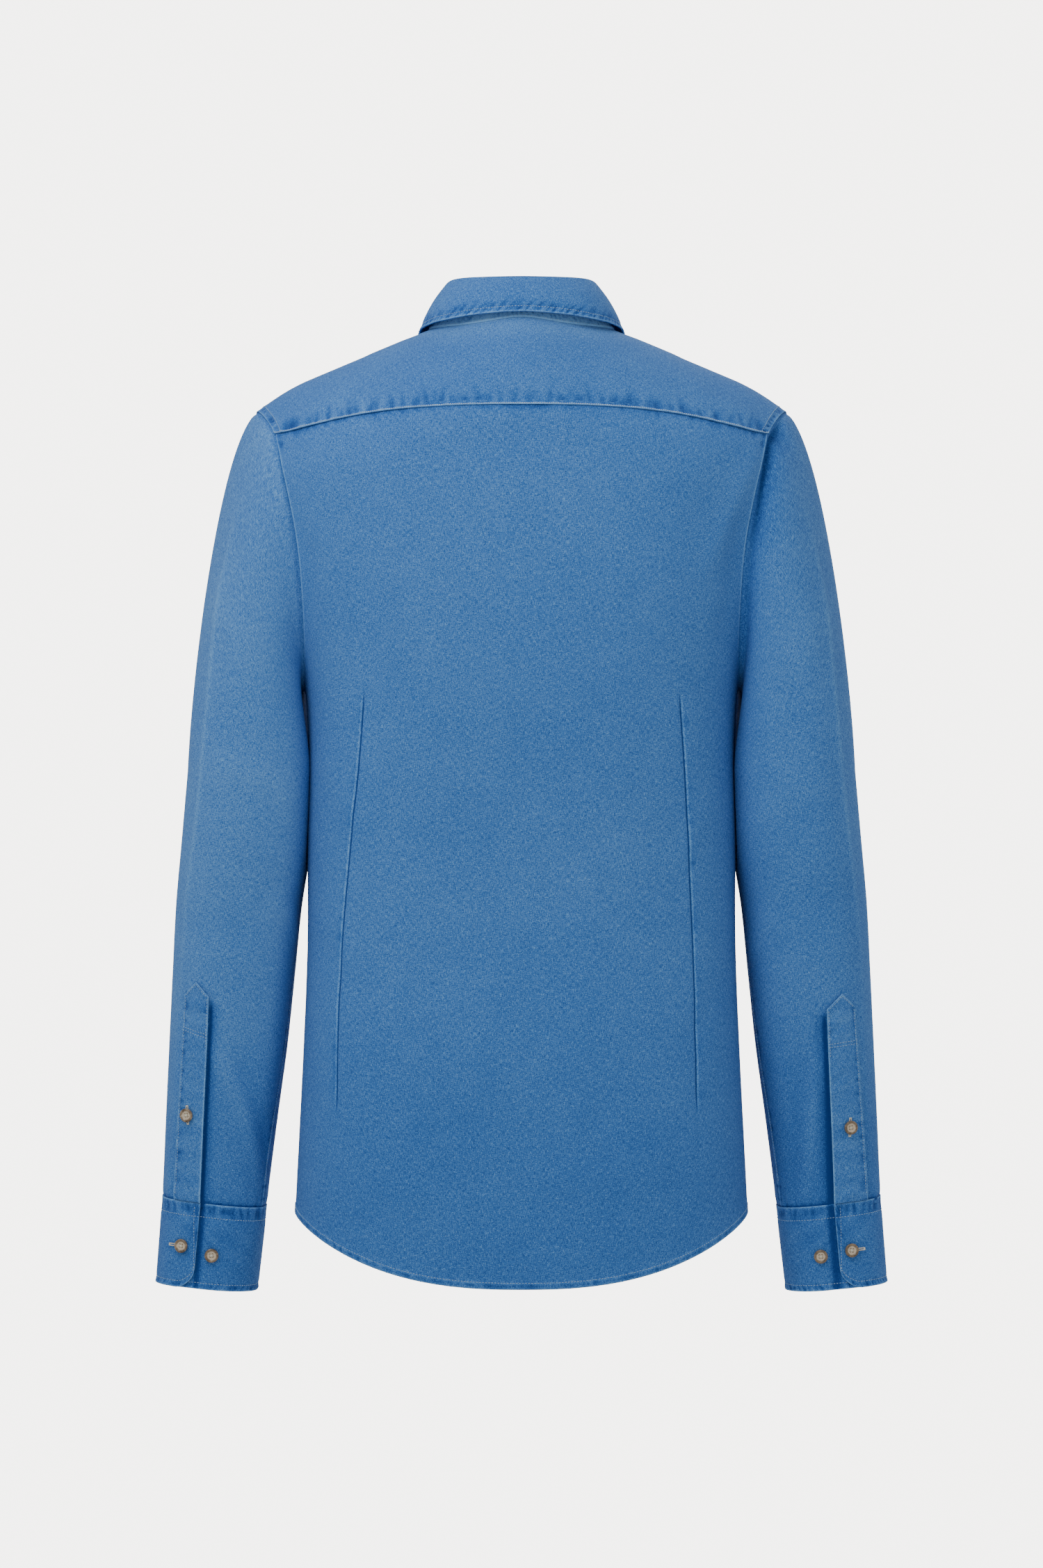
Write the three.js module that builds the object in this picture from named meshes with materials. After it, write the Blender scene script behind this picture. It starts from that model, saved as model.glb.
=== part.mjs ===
// Men's denim shirt in a slim cut, buttoned up and filled out as it is when worn.
// Units are millimetres. +Z is up, the wearer faces +Y and has the right hand towards +X.
// The origin is the middle of the neck opening, level with the collar seam at the back.
// Each cut piece of cloth is one closed wall: an outer skin laid on a general figure, and an
// inner skin set back by the thickness of the cloth. Neighbouring pieces stop a seam gap apart.
import * as THREE from 'three';

// Cloth and seams
const CLOTH = 1.3;          // body and sleeve cloth, with the fullness of its weave
const DOUBLE_CLOTH = 1.8;   // collar and cuffs, two plies with an interlining
const SEAM_GAP = 0.3;       // between neighbouring pieces
const LAYER_GAP = 0.4;      // between a piece and the one that lies on it
const LAP_GAP = 1;          // between the two fronts where they lap

// Figure
const RING_POWER = 2.5;       // squareness of the horizontal rings
const CREST_TOP = 28;         // height of the shoulder line, carried on to the middle
const CREST_SLOPE = 0.42;     // fall of the shoulder line for each unit outwards
const CREST_BLEND = 18;       // half width over which the two slopes meet above the neck
const CREST_ROUND_FROM = 165; // where the shoulder line starts to round over
const CREST_ROUNDING = 0.0046;
const BACK_ROUND = 100;       // height over which the upper back rounds into the shoulder
const FRONT_ROUND = 150;

// Half widths follow the photo's outline below the underarm; depths are a general figure's.
const TORSO = [
  { z: 40, halfWidth: 232, back: 108, front: 62 },
  { z: 0, halfWidth: 230, back: 110, front: 64 },
  { z: -60, halfWidth: 224, back: 111, front: 66 },
  { z: -130, halfWidth: 205, back: 116, front: 92 },
  { z: -200, halfWidth: 187, back: 118, front: 114 },
  { z: -285, halfWidth: 167.5, back: 115, front: 124 },
  { z: -400, halfWidth: 166, back: 106, front: 119 },
  { z: -480, halfWidth: 166, back: 105, front: 115 },
  { z: -560, halfWidth: 169, back: 111, front: 114 },
  { z: -690, halfWidth: 175.5, back: 119, front: 117 },
  { z: -745, halfWidth: 177.5, back: 121, front: 118 },
];

// Yoke seam, armholes and hem
const SEAM_END_Z = -87;
const SEAM_CENTRE_Z = -69.5;
const UNDERARM_Z = -285;
const BACK_ARMHOLE_DEPTH = 0.62;   // share of the ring's depth where the armhole runs
const FRONT_ARMHOLE_DEPTH = 0.7;
const TIP = { x: 203, y: 20, bulge: 9 };   // front end of the shoulder seam
const SIDE_HEM_Z = -685;
const BACK_TAIL = 49;
const FRONT_TAIL = 38;
const EDGE_BIAS = 1.6;         // how closely the columns near an armhole follow its curve
const ARMHOLE_STEPS = [1, 0.85, 0.68, 0.5, 0.33, 0.18, 0.07, 0];  // shares of its height
const SIDE_ROWS = 10;

// Back darts: distance of each fold line from the middle of the back
const DARTS = [
  { z: -284, left: 119, right: 119.5 },
  { z: -345, left: 124, right: 124 },
  { z: -406, left: 130.5, right: 127 },
  { z: -478, left: 137, right: 130.5 },
  { z: -545, left: 140, right: 132.5 },
  { z: -604, left: 140.5, right: 133 },
];
const DART_DEPTH = 1.1;
const DART_SHARE = 0.5;        // the dart's place between middle and side seam, as a share
const DART_FLANK = 0.035;      // the same, from the fold to where the cloth is flat again

// Neck and collar
const NECK = { halfWidth: 72, back: 66, front: 62, seamTurn: -20, frontTurn: -57.6 };
const STAND_TOP = {
  halfWidth: 58, back: 56, front: 58, zSide: 26, zBack: 28.5, zFront: -34, swell: 5, endFall: 0.4,
};
const FRONT_OVERLAP = 15;      // how far each front passes the middle
const ROLL = { rise: 2.5, top: 4.6, out: 3.4 };
// Outer edge of the collar: on the figure at x and turn, raised by lift above the cloth. The
// first row is a mirror image, so that the edge runs level across the middle of the back.
const COLLAR_EDGE = [
  { share: -0.2, x: -42, turn: 31.2, lift: 9.2 },
  { share: 0, x: 0, turn: 38.4, lift: 7.2 },
  { share: 0.2, x: 42, turn: 31.2, lift: 9.2 },
  { share: 0.35, x: 62.2, turn: 22, lift: 7.2 },
  { share: 0.5, x: 75, turn: 8, lift: 3.9 },
  { share: 0.62, x: 79.5, turn: -14, lift: 4.1 },
  { share: 0.75, x: 79.5, turn: -36, lift: 4.4 },
  { share: 0.88, x: 70, turn: -54, lift: 5 },
  { share: 1, x: 56, turn: -68, lift: 5.2 },
];

// Sleeves: outer and inner silhouette, and the depth of the arm
const SLEEVE = [
  { z: -345, outer: 259, inner: 160, back: -66, front: 78, tilt: 0 },
  { z: -400, outer: 264, inner: 163.5, back: -60, front: 76.5, tilt: 0.01 },
  { z: -448, outer: 268.5, inner: 171.2, back: -51, front: 74.5, tilt: 0.03 },
  { z: -502, outer: 271.5, inner: 176.9, back: -43, front: 72, tilt: 0.05 },
  { z: -556, outer: 274.3, inner: 182.8, back: -35, front: 69, tilt: 0.07 },
  { z: -610, outer: 277, inner: 190.3, back: -27, front: 66, tilt: 0.085 },
  { z: -664, outer: 279.6, inner: 197.4, back: -19, front: 64, tilt: 0.1 },
  { z: -680, outer: 280.6, inner: 199, back: -17.5, front: 63.5, tilt: 0.105 },
  { z: -748, outer: 286, inner: 206.5, back: -15, front: 65, tilt: 0.085 },
];
const SLEEVE_POWER = 2.5;
const SIDE_GAP = 1.2;          // between a sleeve and the body's side, along which it is pressed flat
const CAP_ROWS = 8;
const SLEEVE_ROWS = 10;
const BICEPS_Z = -345;
const CUFF_SEAM_Z = -680;
const CUFF_HEM_Z = -746;
const CUFF = { lap: 38, corner: 15, rows: 3, columns: 32 };
const SLEEVE_PLACKET = { point: 11, rows: 8, columns: 4 };
// Turns round the arm, from its outside towards the back: the placket's two edges at the top and
// at the cuff, whose end lies on the same line, and the buttons, the spare one on the bare cuff
const SLEEVES = [
  {
    name: 'left', side: -1, shoulderZ: -519, top: [77.2, 50.7], foot: [82, 49.1],
    button: { z: -612, turn: 63 }, cuffButton: { z: -714, turn: 66 }, spare: { z: -719, turn: 93.1 },
  },
  {
    name: 'right', side: 1, shoulderZ: -528, top: [83.7, 55.9], foot: [88.9, 51.2],
    button: { z: -621, turn: 70 }, cuffButton: { z: -716.5, turn: 77.6 }, spare: { z: -719, turn: 102.5 },
  },
];

// Front placket and buttons
const PLACKET_SHARES = [0, 0.035, 0.055];   // columns of the left front that the band covers
const PLACKET_LIP = 0.6;                    // how far the band passes the front's edge
const BUTTON = { radius: 5.4, thickness: 2.6, rim: 0.9, sides: 12 };
const FRONT_BUTTONS = [-128, -218, -308, -398, -488, -578];   // heights

const DENIM = { color: 0x4a7db5, roughness: 0.9, metalness: 0 };
const HORN = { color: 0x8d7a66, roughness: 0.4, metalness: 0 };

const degrees = (angle) => (angle * Math.PI) / 180;
const mix = (a, b, t) => a + (b - a) * t;
const clamp01 = (t) => Math.min(1, Math.max(0, t));
const smooth = (t) => clamp01(t) ** 2 * (3 - 2 * clamp01(t));
const point = (x, y, z) => new THREE.Vector3(x, y, z);

// Smooth curve through the rows of a table, read in the column named key.
function column(table, by, at, key) {
  const rising = table[1][by] > table[0][by] ? 1 : -1;
  let i = 0;
  while (i < table.length - 2 && (at - table[i + 1][by]) * rising > 0) i += 1;
  const slope = (k) => {
    const low = table[Math.max(0, k - 1)];
    const high = table[Math.min(table.length - 1, k + 1)];
    return (high[key] - low[key]) / (high[by] - low[by]);
  };
  const [a, b] = [table[i], table[i + 1]];
  const span = b[by] - a[by];
  const t = clamp01((at - a[by]) / span);
  const t2 = t * t;
  const t3 = t2 * t;
  return a[key] * (2 * t3 - 3 * t2 + 1) + slope(i) * span * (t3 - 2 * t2 + t)
    + b[key] * (3 * t2 - 2 * t3) + slope(i + 1) * span * (t3 - t2);
}

// Figure: horizontal rings below the shoulders, rounded over at the shoulder line

const torso = (z, key) => column(TORSO, 'z', z, key);

function crest(x) {
  const out = Math.hypot(x, CREST_BLEND);
  return CREST_TOP - CREST_SLOPE * out - CREST_ROUNDING * Math.max(0, out - CREST_ROUND_FROM) ** 2;
}

// Depth of the ring at x, as a share of its depth in the middle.
function ringShare(x, z) {
  const share = Math.min(1, Math.abs(x) / torso(z, 'halfWidth'));
  return (1 - share ** RING_POWER) ** (1 / RING_POWER);
}

// Share of the full depth reached at a drop below the shoulder line.
function roundShare(drop, height) {
  const rest = 1 - clamp01(drop / height);
  return Math.sqrt(1 - rest * rest);
}

function backPoint(x, z) {
  return point(x, -torso(z, 'back') * ringShare(x, z) * roundShare(crest(x) - z, BACK_ROUND), z);
}

function frontPoint(x, z) {
  return point(x, torso(z, 'front') * ringShare(x, z) * roundShare(crest(x) - z, FRONT_ROUND), z);
}

// Point over the shoulder: turn is the angle from the shoulder line, towards the back if positive.
function shoulderPoint(x, turn) {
  const angle = degrees(Math.abs(turn));
  const backward = turn > 0;
  const z = crest(x) - (backward ? BACK_ROUND : FRONT_ROUND) * (1 - Math.cos(angle));
  const depth = torso(z, backward ? 'back' : 'front') * ringShare(x, z) * Math.sin(angle);
  return point(x, backward ? -depth : depth, z);
}

function shoulderNormal(x, turn) {
  const across = shoulderPoint(x + 1, turn).sub(shoulderPoint(x - 1, turn));
  const along = shoulderPoint(x, turn + 1).sub(shoulderPoint(x, turn - 1));
  const { y } = shoulderPoint(x, turn);
  const normal = across.cross(along).normalize();
  return normal.dot(point(x, y, 60)) < 0 ? normal.negate() : normal;
}

// Normal of the figure at a point on it: over the shoulder, or on a ring below it.
function figureNormal({ x, y, z }) {
  const round = y < 0 ? BACK_ROUND : FRONT_ROUND;
  const drop = crest(x) - z;
  if (drop < round) {
    const turn = (Math.acos(1 - Math.max(0, drop) / round) * 180) / Math.PI;
    return shoulderNormal(x, y < 0 ? turn : -turn);
  }
  const depthKey = y < 0 ? 'back' : 'front';
  const [width, depth] = [torso(z, 'halfWidth'), torso(z, depthKey)];
  const widthSlope = (torso(z + 1, 'halfWidth') - torso(z - 1, 'halfWidth')) / 2;
  const depthSlope = (torso(z + 1, depthKey) - torso(z - 1, depthKey)) / 2;
  const [shareX, shareY] = [Math.abs(x) / width, Math.abs(y) / depth];
  return point(
    (Math.sign(x) * shareX ** (RING_POWER - 1)) / width,
    (Math.sign(y) * shareY ** (RING_POWER - 1)) / depth,
    -(shareX ** RING_POWER * widthSlope) / width - (shareY ** RING_POWER * depthSlope) / depth,
  ).normalize();
}

// Turn at which the shoulder surface has a given depth y at x, found by halving.
function turnAt(x, y) {
  const direction = y < 0 ? 1 : -1;
  let [low, high] = [0, 90];
  for (let pass = 0; pass < 30; pass += 1) {
    const turn = (low + high) / 2;
    if (Math.abs(shoulderPoint(x, direction * turn).y) < Math.abs(y)) low = turn;
    else high = turn;
  }
  return direction * low;
}

const turnAtDrop = (x, z) => (Math.acos(1 - (crest(x) - z) / BACK_ROUND) * 180) / Math.PI;

// Angle of the armhole's edge round a ring, from the side seam, at a height.
function armholeAngle(z, depthShare) {
  const share = clamp01((z - UNDERARM_Z) / (SEAM_END_Z - UNDERARM_Z));
  const depth = depthShare * Math.sqrt(1 - (1 - share) ** 3);
  return Math.asin(depth ** (RING_POWER / 2));
}

const ringX = (angle, z) => torso(z, 'halfWidth') * Math.max(0, Math.cos(angle)) ** (2 / RING_POWER);

// Walls

// Closed wall on a grid of outer points, rows[j][i]. Rows run down and columns to the right as seen
// from outside, or the other way with flip. Inner points may be given for some rows.
function wall(rows, thickness, { closed = false, flip = false, normalOf = null, inner = {} } = {}) {
  const height = rows.length;
  const width = rows[0].length;
  const wrap = (i) => (closed ? (i + width) % width : Math.min(width - 1, Math.max(0, i)));
  const normalAt = (j, i) => {
    if (normalOf) return normalOf(rows[j][i]);
    const across = rows[j][wrap(i + 1)].clone().sub(rows[j][wrap(i - 1)]);
    const down = rows[Math.min(height - 1, j + 1)][i].clone().sub(rows[Math.max(0, j - 1)][i]);
    const normal = down.cross(across).normalize();
    return flip ? normal.negate() : normal;
  };
  const normals = rows.map((row, j) => row.map((_, i) => normalAt(j, i)));
  const lining = rows.map((row, j) => row.map((p, i) => (
    inner[j] ? inner[j][i] : p.clone().addScaledVector(normals[j][i], -thickness)
  )));
  const points = [...rows.flat(), ...lining.flat()];
  const positions = points.flatMap((p) => [p.x, p.y, p.z]);
  const outerIndex = (j, i) => j * width + wrap(i);
  const innerIndex = (j, i) => width * height + j * width + wrap(i);
  const indices = [];
  const triangle = (a, b, c) => indices.push(...(flip ? [a, c, b] : [a, b, c]));
  const quad = (a, b, c, d) => {
    if (points[a].distanceTo(points[c]) <= points[b].distanceTo(points[d]) + 1e-6) {
      triangle(a, b, c);
      triangle(a, c, d);
    } else {
      triangle(a, b, d);
      triangle(b, c, d);
    }
  };
  const columns = closed ? width : width - 1;
  for (let j = 0; j < height - 1; j += 1) {
    for (let i = 0; i < columns; i += 1) {
      quad(outerIndex(j, i), outerIndex(j + 1, i), outerIndex(j + 1, i + 1), outerIndex(j, i + 1));
      quad(innerIndex(j, i), innerIndex(j, i + 1), innerIndex(j + 1, i + 1), innerIndex(j + 1, i));
    }
  }
  for (let i = 0; i < columns; i += 1) {
    const last = height - 1;
    quad(outerIndex(0, i), outerIndex(0, i + 1), innerIndex(0, i + 1), innerIndex(0, i));
    quad(outerIndex(last, i + 1), outerIndex(last, i), innerIndex(last, i), innerIndex(last, i + 1));
  }
  if (!closed) {
    for (let j = 0; j < height - 1; j += 1) {
      const last = width - 1;
      quad(outerIndex(j + 1, 0), outerIndex(j, 0), innerIndex(j, 0), innerIndex(j + 1, 0));
      quad(outerIndex(j, last), outerIndex(j + 1, last), innerIndex(j + 1, last), innerIndex(j, last));
    }
  }
  const geometry = new THREE.BufferGeometry();
  geometry.setAttribute('position', new THREE.Float32BufferAttribute(positions, 3));
  geometry.setIndex(indices);
  geometry.computeVertexNormals();
  return { geometry, rows, normals };
}

const shirt = new THREE.Group();

function addPiece(name, geometry, finish) {
  const mesh = new THREE.Mesh(geometry, new THREE.MeshStandardMaterial(finish));
  mesh.name = name;
  shirt.add(mesh);
  return mesh;
}

// Columns across the back: even steps, with a fold and two flanks at each dart

const NECK_SHARE = 0.42;      // where the neck ends on the yoke, between middle and armhole
const halfShares = [
  0.07, 0.14, 0.21, 0.28, 0.35, NECK_SHARE,
  DART_SHARE - DART_FLANK, DART_SHARE, DART_SHARE + DART_FLANK,
  0.62, 0.71, 0.8, 0.9, 1,
];
const shares = [...halfShares.map((s) => -s).reverse(), 0, ...halfShares];

const edgeHeights = [
  ...ARMHOLE_STEPS.map((k) => mix(UNDERARM_Z, SEAM_END_Z, k)),
  ...Array.from({ length: SIDE_ROWS }, (_, k) => mix(UNDERARM_Z, SIDE_HEM_Z, (k + 1) / SIDE_ROWS)),
];
const underarmRow = ARMHOLE_STEPS.length - 1;
const seamToHem = (edgeZ) => (SEAM_END_Z - edgeZ) / (SEAM_END_Z - SIDE_HEM_Z);

// Angle round the ring, from the side seam, of a share between the middle and a panel's edge.
function panelAngle(share, edgeZ, armholeDepth) {
  const edge = edgeZ > UNDERARM_Z ? armholeAngle(edgeZ, armholeDepth) : 0;
  return (Math.PI / 2) * (1 - share) + edge * share ** EDGE_BIAS;
}

// Moves the first row of a grid away from the seam above it.
function openSeam(rows) {
  rows[0].forEach((p, i) => {
    const down = rows[1][i].clone().sub(p).normalize();
    p.addScaledVector(down, SEAM_GAP + 0.1);
  });
}

// Place on the back panel: share from the middle to its edge, and the height of that edge.
function backPlace(share, edgeZ) {
  const down = seamToHem(edgeZ);
  const centreZ = mix(SEAM_CENTRE_Z, SIDE_HEM_Z - BACK_TAIL, down);
  const z = mix(edgeZ, centreZ, Math.cos(degrees(90 * share)) ** mix(2, 1.85, down));
  const angle = panelAngle(Math.abs(share), edgeZ, BACK_ARMHOLE_DEPTH);
  return { x: Math.sign(share) * ringX(angle, z), z };
}

// How far the columns near a dart move, as a share, so that one of them runs along its fold.
function dartShift(share, edgeZ) {
  const reach = clamp01(1 - Math.abs(Math.abs(share) - DART_SHARE) / 0.2);
  if (reach === 0) return 0;
  const { z } = backPlace(DART_SHARE, edgeZ);
  const x = column(DARTS, 'z', z, share < 0 ? 'left' : 'right');
  const angle = Math.acos((x / torso(z, 'halfWidth')) ** (RING_POWER / 2));
  const inSpan = smooth((DARTS[0].z + 90 - z) / 90) * smooth((z - DARTS.at(-1).z + 60) / 60);
  return Math.sign(share) * (1 - angle / (Math.PI / 2) - DART_SHARE) * reach * inSpan;
}

const dartDepth = (z) => (
  DART_DEPTH * smooth((DARTS[0].z - z) / 60) * smooth((z - DARTS.at(-1).z) / 60)
);

function backPanel() {
  const rows = edgeHeights.map((edgeZ, j) => shares.map((share) => {
    const place = backPlace(share + dartShift(share, edgeZ), edgeZ);
    const p = backPoint(place.x, place.z);
    const atSideSeam = Math.abs(share) === 1 && j >= underarmRow;
    if (atSideSeam) p.y = -SEAM_GAP / 2 - 0.05;
    if (Math.abs(share) === DART_SHARE) p.y += dartDepth(p.z);
    return p;
  }));
  openSeam(rows);
  return wall(rows, CLOTH, { normalOf: figureNormal });
}

// Yoke, from its seam across the back, over the shoulders, to the neck and front shoulder seams

const YOKE_ROWS = 5;

function neckPlace(turn) {
  const angle = degrees(turn);
  const depth = turn > 0 ? NECK.back : NECK.front;
  return { x: NECK.halfWidth * Math.cos(angle), y: -depth * Math.sin(angle) };
}

// Front seam of the yoke, from the neck to the armhole.
function shoulderSeamPlace(share) {
  const t = (share - NECK_SHARE) / (1 - NECK_SHARE);
  const start = neckPlace(NECK.seamTurn);
  return { x: mix(start.x, TIP.x, t), y: mix(start.y, TIP.y, t) };
}

function yokeTop(share) {
  return share < NECK_SHARE
    ? neckPlace(mix(90, NECK.seamTurn, share / NECK_SHARE))
    : shoulderSeamPlace(share);
}

function yokePanel() {
  const rows = Array.from({ length: YOKE_ROWS + 1 }, (_, j) => {
    const up = j / YOKE_ROWS;
    return shares.map((share) => {
      const out = Math.abs(share);
      const seam = backPlace(out, SEAM_END_Z);
      const top = yokeTop(out);
      const bulge = TIP.bulge * out ** 6 * Math.sin(Math.PI * up);
      const x = mix(seam.x, top.x, up) + bulge;
      const p = shoulderPoint(x, mix(turnAtDrop(seam.x, seam.z), turnAt(top.x, top.y), up));
      return p.setX(share < 0 ? -p.x : p.x);
    });
  });
  return wall(rows, CLOTH, { flip: true, normalOf: figureNormal });
}

// Fronts: columns from the armhole or side seam to just past the middle

const FRONT_SHARES = [
  1, 0.9, 0.8, 0.7, 0.6, 0.5, NECK_SHARE, 0.34, 0.26, 0.18, 0.1, 0.08, 0.055, 0.035, 0,
];
const PAST_SHARE = 0.1;       // columns below this share are drawn towards the front's edge

const pastMiddle = (share) => FRONT_OVERLAP * smooth(1 - share / PAST_SHARE);

// Turn of a front's column at the neck, between its edge past the middle and the shoulder seam.
function frontNeckTurn(share) {
  if (share >= PAST_SHARE) {
    const t = (share - PAST_SHARE) / (NECK_SHARE - PAST_SHARE);
    return mix(NECK.frontTurn, NECK.seamTurn, t);
  }
  const x = ringX(panelAngle(share, SIDE_HEM_Z, 0), -400) - pastMiddle(share);
  return (-Math.acos(x / NECK.halfWidth) * 180) / Math.PI;
}

function neckSeam(turn) {
  const { x, y } = neckPlace(turn);
  return shoulderPoint(Math.abs(x), turnAt(Math.abs(x), y)).setX(x);
}

function frontTop(share) {
  if (share <= NECK_SHARE) return neckSeam(frontNeckTurn(share));
  const { x, y } = shoulderSeamPlace(share);
  return shoulderPoint(x, turnAt(x, y));
}

// Outer skin of the right front. The left one is its mirror image, and lies on it at the middle.
function frontSkin(share, edgeZ) {
  const top = frontTop(share);
  const down = seamToHem(edgeZ);
  const level = smooth((SEAM_END_Z - edgeZ) / (SEAM_END_Z - UNDERARM_Z));
  const lift = mix(1, Math.cos(degrees(90 * share)) ** 1.9, level);
  const z = mix(edgeZ, mix(top.z, SIDE_HEM_Z - FRONT_TAIL, down), lift);
  const ringed = ringX(panelAngle(share, edgeZ, FRONT_ARMHOLE_DEPTH), z) - pastMiddle(share);
  return down === 0 ? top : frontPoint(mix(top.x, ringed, smooth(down / 0.22)), z);
}

// Share by which the right side is set back, where it runs under the left one.
const underLap = (x) => smooth((2 * FRONT_OVERLAP - x) / 12);

function frontPanel(side) {
  const rows = edgeHeights.map((edgeZ, j) => FRONT_SHARES.map((share) => {
    const p = frontSkin(share, edgeZ);
    if (side > 0) p.y -= (CLOTH + LAP_GAP) * underLap(p.x);
    if (share === 1 && j >= underarmRow) p.y = SEAM_GAP / 2 + 0.05;
    return p;
  }));
  openSeam(rows);
  if (side < 0) rows.flat().forEach((p) => p.setX(-p.x));
  return wall(rows, CLOTH, { flip: side < 0, normalOf: figureNormal });
}

// Front placket: a band sewn on the edge of the left front, from the neck to the hem.
function frontPlacket(front) {
  const rows = front.rows.map((row, j) => PLACKET_SHARES.map((share) => {
    const i = FRONT_SHARES.indexOf(share);
    const p = row[i].clone().addScaledVector(front.normals[j][i], SEAM_GAP + CLOTH);
    if (share === 0) p.x += PLACKET_LIP;
    return p;
  }));
  return wall(rows, CLOTH, { normalOf: figureNormal });
}

// Sleeves

// Half width of the body at a depth y.
function bodySide(y, z) {
  const share = Math.min(1, Math.abs(y) / torso(z, y < 0 ? 'back' : 'front'));
  return torso(z, 'halfWidth') * (1 - share ** RING_POWER) ** (1 / RING_POWER);
}

function sleeveRing(z, turn) {
  const read = (key) => column(SLEEVE, 'z', z, key);
  const angle = degrees(turn);
  const curve = (t) => Math.sign(t) * Math.abs(t) ** (2 / SLEEVE_POWER);
  const middleX = (read('outer') + read('inner')) / 2;
  const middleY = (read('back') + read('front')) / 2;
  const y = middleY - ((read('front') - read('back')) / 2) * curve(Math.sin(angle));
  const free = middleX + ((read('outer') - read('inner')) / 2) * curve(Math.cos(angle));
  const x = Math.max(free, bodySide(y, z) + SIDE_GAP);
  return point(x, y, z + read('tilt') * (x - middleX));
}

function sleeveNormal(z, turn) {
  const round = sleeveRing(z, turn + 1).sub(sleeveRing(z, turn - 1));
  const along = sleeveRing(z + 1, turn).sub(sleeveRing(z - 1, turn));
  return round.cross(along).normalize().negate();
}

// Armhole of the right side, from the underarm up the back, over the shoulder and down the front:
// points of the panels' edges, with one more half way along each edge of the back and front.
function armhole(back, yoke, front) {
  const edge = ({ rows, normals }, j, i) => ({ p: rows[j].at(i), n: normals[j].at(i) });
  const between = (a, b) => ({ p: a.p.clone().lerp(b.p, 0.5), n: a.n.clone().add(b.n).normalize() });
  const underarm = between(edge(back, underarmRow, -1), edge(front, underarmRow, 0));
  const points = [underarm];
  const addWithMiddle = (next) => points.push(between(points.at(-1), next), next);
  for (let j = underarmRow - 1; j > 0; j -= 1) addWithMiddle(edge(back, j, -1));
  addWithMiddle(between(edge(back, 0, -1), edge(yoke, 0, -1)));
  for (let j = 1; j < YOKE_ROWS; j += 1) points.push(edge(yoke, j, -1));
  points.push(between(edge(yoke, YOKE_ROWS, -1), edge(front, 0, 0)));
  for (let j = 1; j < underarmRow; j += 1) addWithMiddle(edge(front, j, 0));
  points.push(between(points.at(-1), underarm));
  return points;
}

function sleevePanel(loop, side) {
  const next = (i) => loop[(i + 1) % loop.length].p;
  const lengths = loop.map(({ p }, i) => p.distanceTo(next(i)));
  const total = lengths.reduce((sum, length) => sum + length, 0);
  let walked = 0;
  const columns = loop.map(({ p, n }, i) => {
    const before = loop[(i + loop.length - 1) % loop.length].p;
    const outward = next(i).clone().sub(before).cross(n).normalize();
    const start = p.clone().addScaledVector(outward, SEAM_GAP + 0.15);
    const turn = 180 - (360 * walked) / total;
    walked += lengths[i];
    return { start, outward, n, turn, inner: start.clone().addScaledVector(n, -CLOTH) };
  });
  // The cap leaves the armhole along the shoulder's fall and arrives along the arm.
  const capPoint = ({ start, outward, n, turn }, v) => {
    const end = sleeveRing(BICEPS_Z, turn);
    const reach = start.distanceTo(end);
    const top = (1 + Math.cos(degrees(turn))) / 2;
    const leave = point(0.85 - 0.1 * top, -0.25 * Math.sin(degrees(turn)), 0.12 - 0.75 * top)
      .addScaledVector(outward, 0.25).addScaledVector(n, 0.6 * (1 - top))
      .normalize().multiplyScalar(reach * 0.36);
    const arrive = sleeveRing(BICEPS_Z - 1, turn).sub(sleeveRing(BICEPS_Z + 1, turn))
      .normalize().multiplyScalar(reach * mix(0.9, 1.1, top));
    return point(0, 0, 0)
      .addScaledVector(start, 2 * v ** 3 - 3 * v ** 2 + 1)
      .addScaledVector(leave, v ** 3 - 2 * v ** 2 + v)
      .addScaledVector(end, 3 * v ** 2 - 2 * v ** 3)
      .addScaledVector(arrive, v ** 3 - v ** 2);
  };
  const rows = [columns.map(({ start }) => start)];
  for (let j = 1; j <= CAP_ROWS; j += 1) {
    rows.push(columns.map((c) => capPoint(c, (j / CAP_ROWS) ** 1.15)));
  }
  for (let j = 1; j <= SLEEVE_ROWS; j += 1) {
    const z = mix(BICEPS_Z, CUFF_SEAM_Z + SEAM_GAP, j / SLEEVE_ROWS);
    rows.push(columns.map(({ turn }) => sleeveRing(z, turn)));
  }
  const inner = { 0: columns.map((c) => c.inner) };
  if (side < 0) [...rows, inner[0]].flat().forEach((p) => p.setX(-p.x));
  return wall(rows, CLOTH, { closed: true, inner, flip: side < 0 });
}

// Barrel cuff: a strip that laps over itself, with a rounded corner at the outer end.
function cuffPanel({ side, foot }) {
  const rows = Array.from({ length: CUFF.rows + 1 }, (_, j) => (
    Array.from({ length: CUFF.columns + 1 }, (__, i) => {
      const turned = ((360 + CUFF.lap) * i) / CUFF.columns;
      const fromEnd = degrees(turned) * 40;
      const cut = Math.max(0, CUFF.corner - fromEnd);
      const rise = CUFF.corner - Math.sqrt(CUFF.corner ** 2 - cut ** 2);
      const z = mix(CUFF_SEAM_Z, CUFF_HEM_Z + rise, j / CUFF.rows);
      const p = sleeveRing(z, foot[0] - turned);
      const middle = sleeveRing(z, 0).lerp(sleeveRing(z, 180), 0.5);
      const inward = middle.sub(p).setZ(0).normalize();
      const under = smooth((turned - 350) / 9);
      p.addScaledVector(inward, (DOUBLE_CLOTH + LAYER_GAP) * under);
      return p.setX(p.x * side);
    })
  ));
  return wall(rows, DOUBLE_CLOTH, { flip: side < 0 });
}

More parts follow.
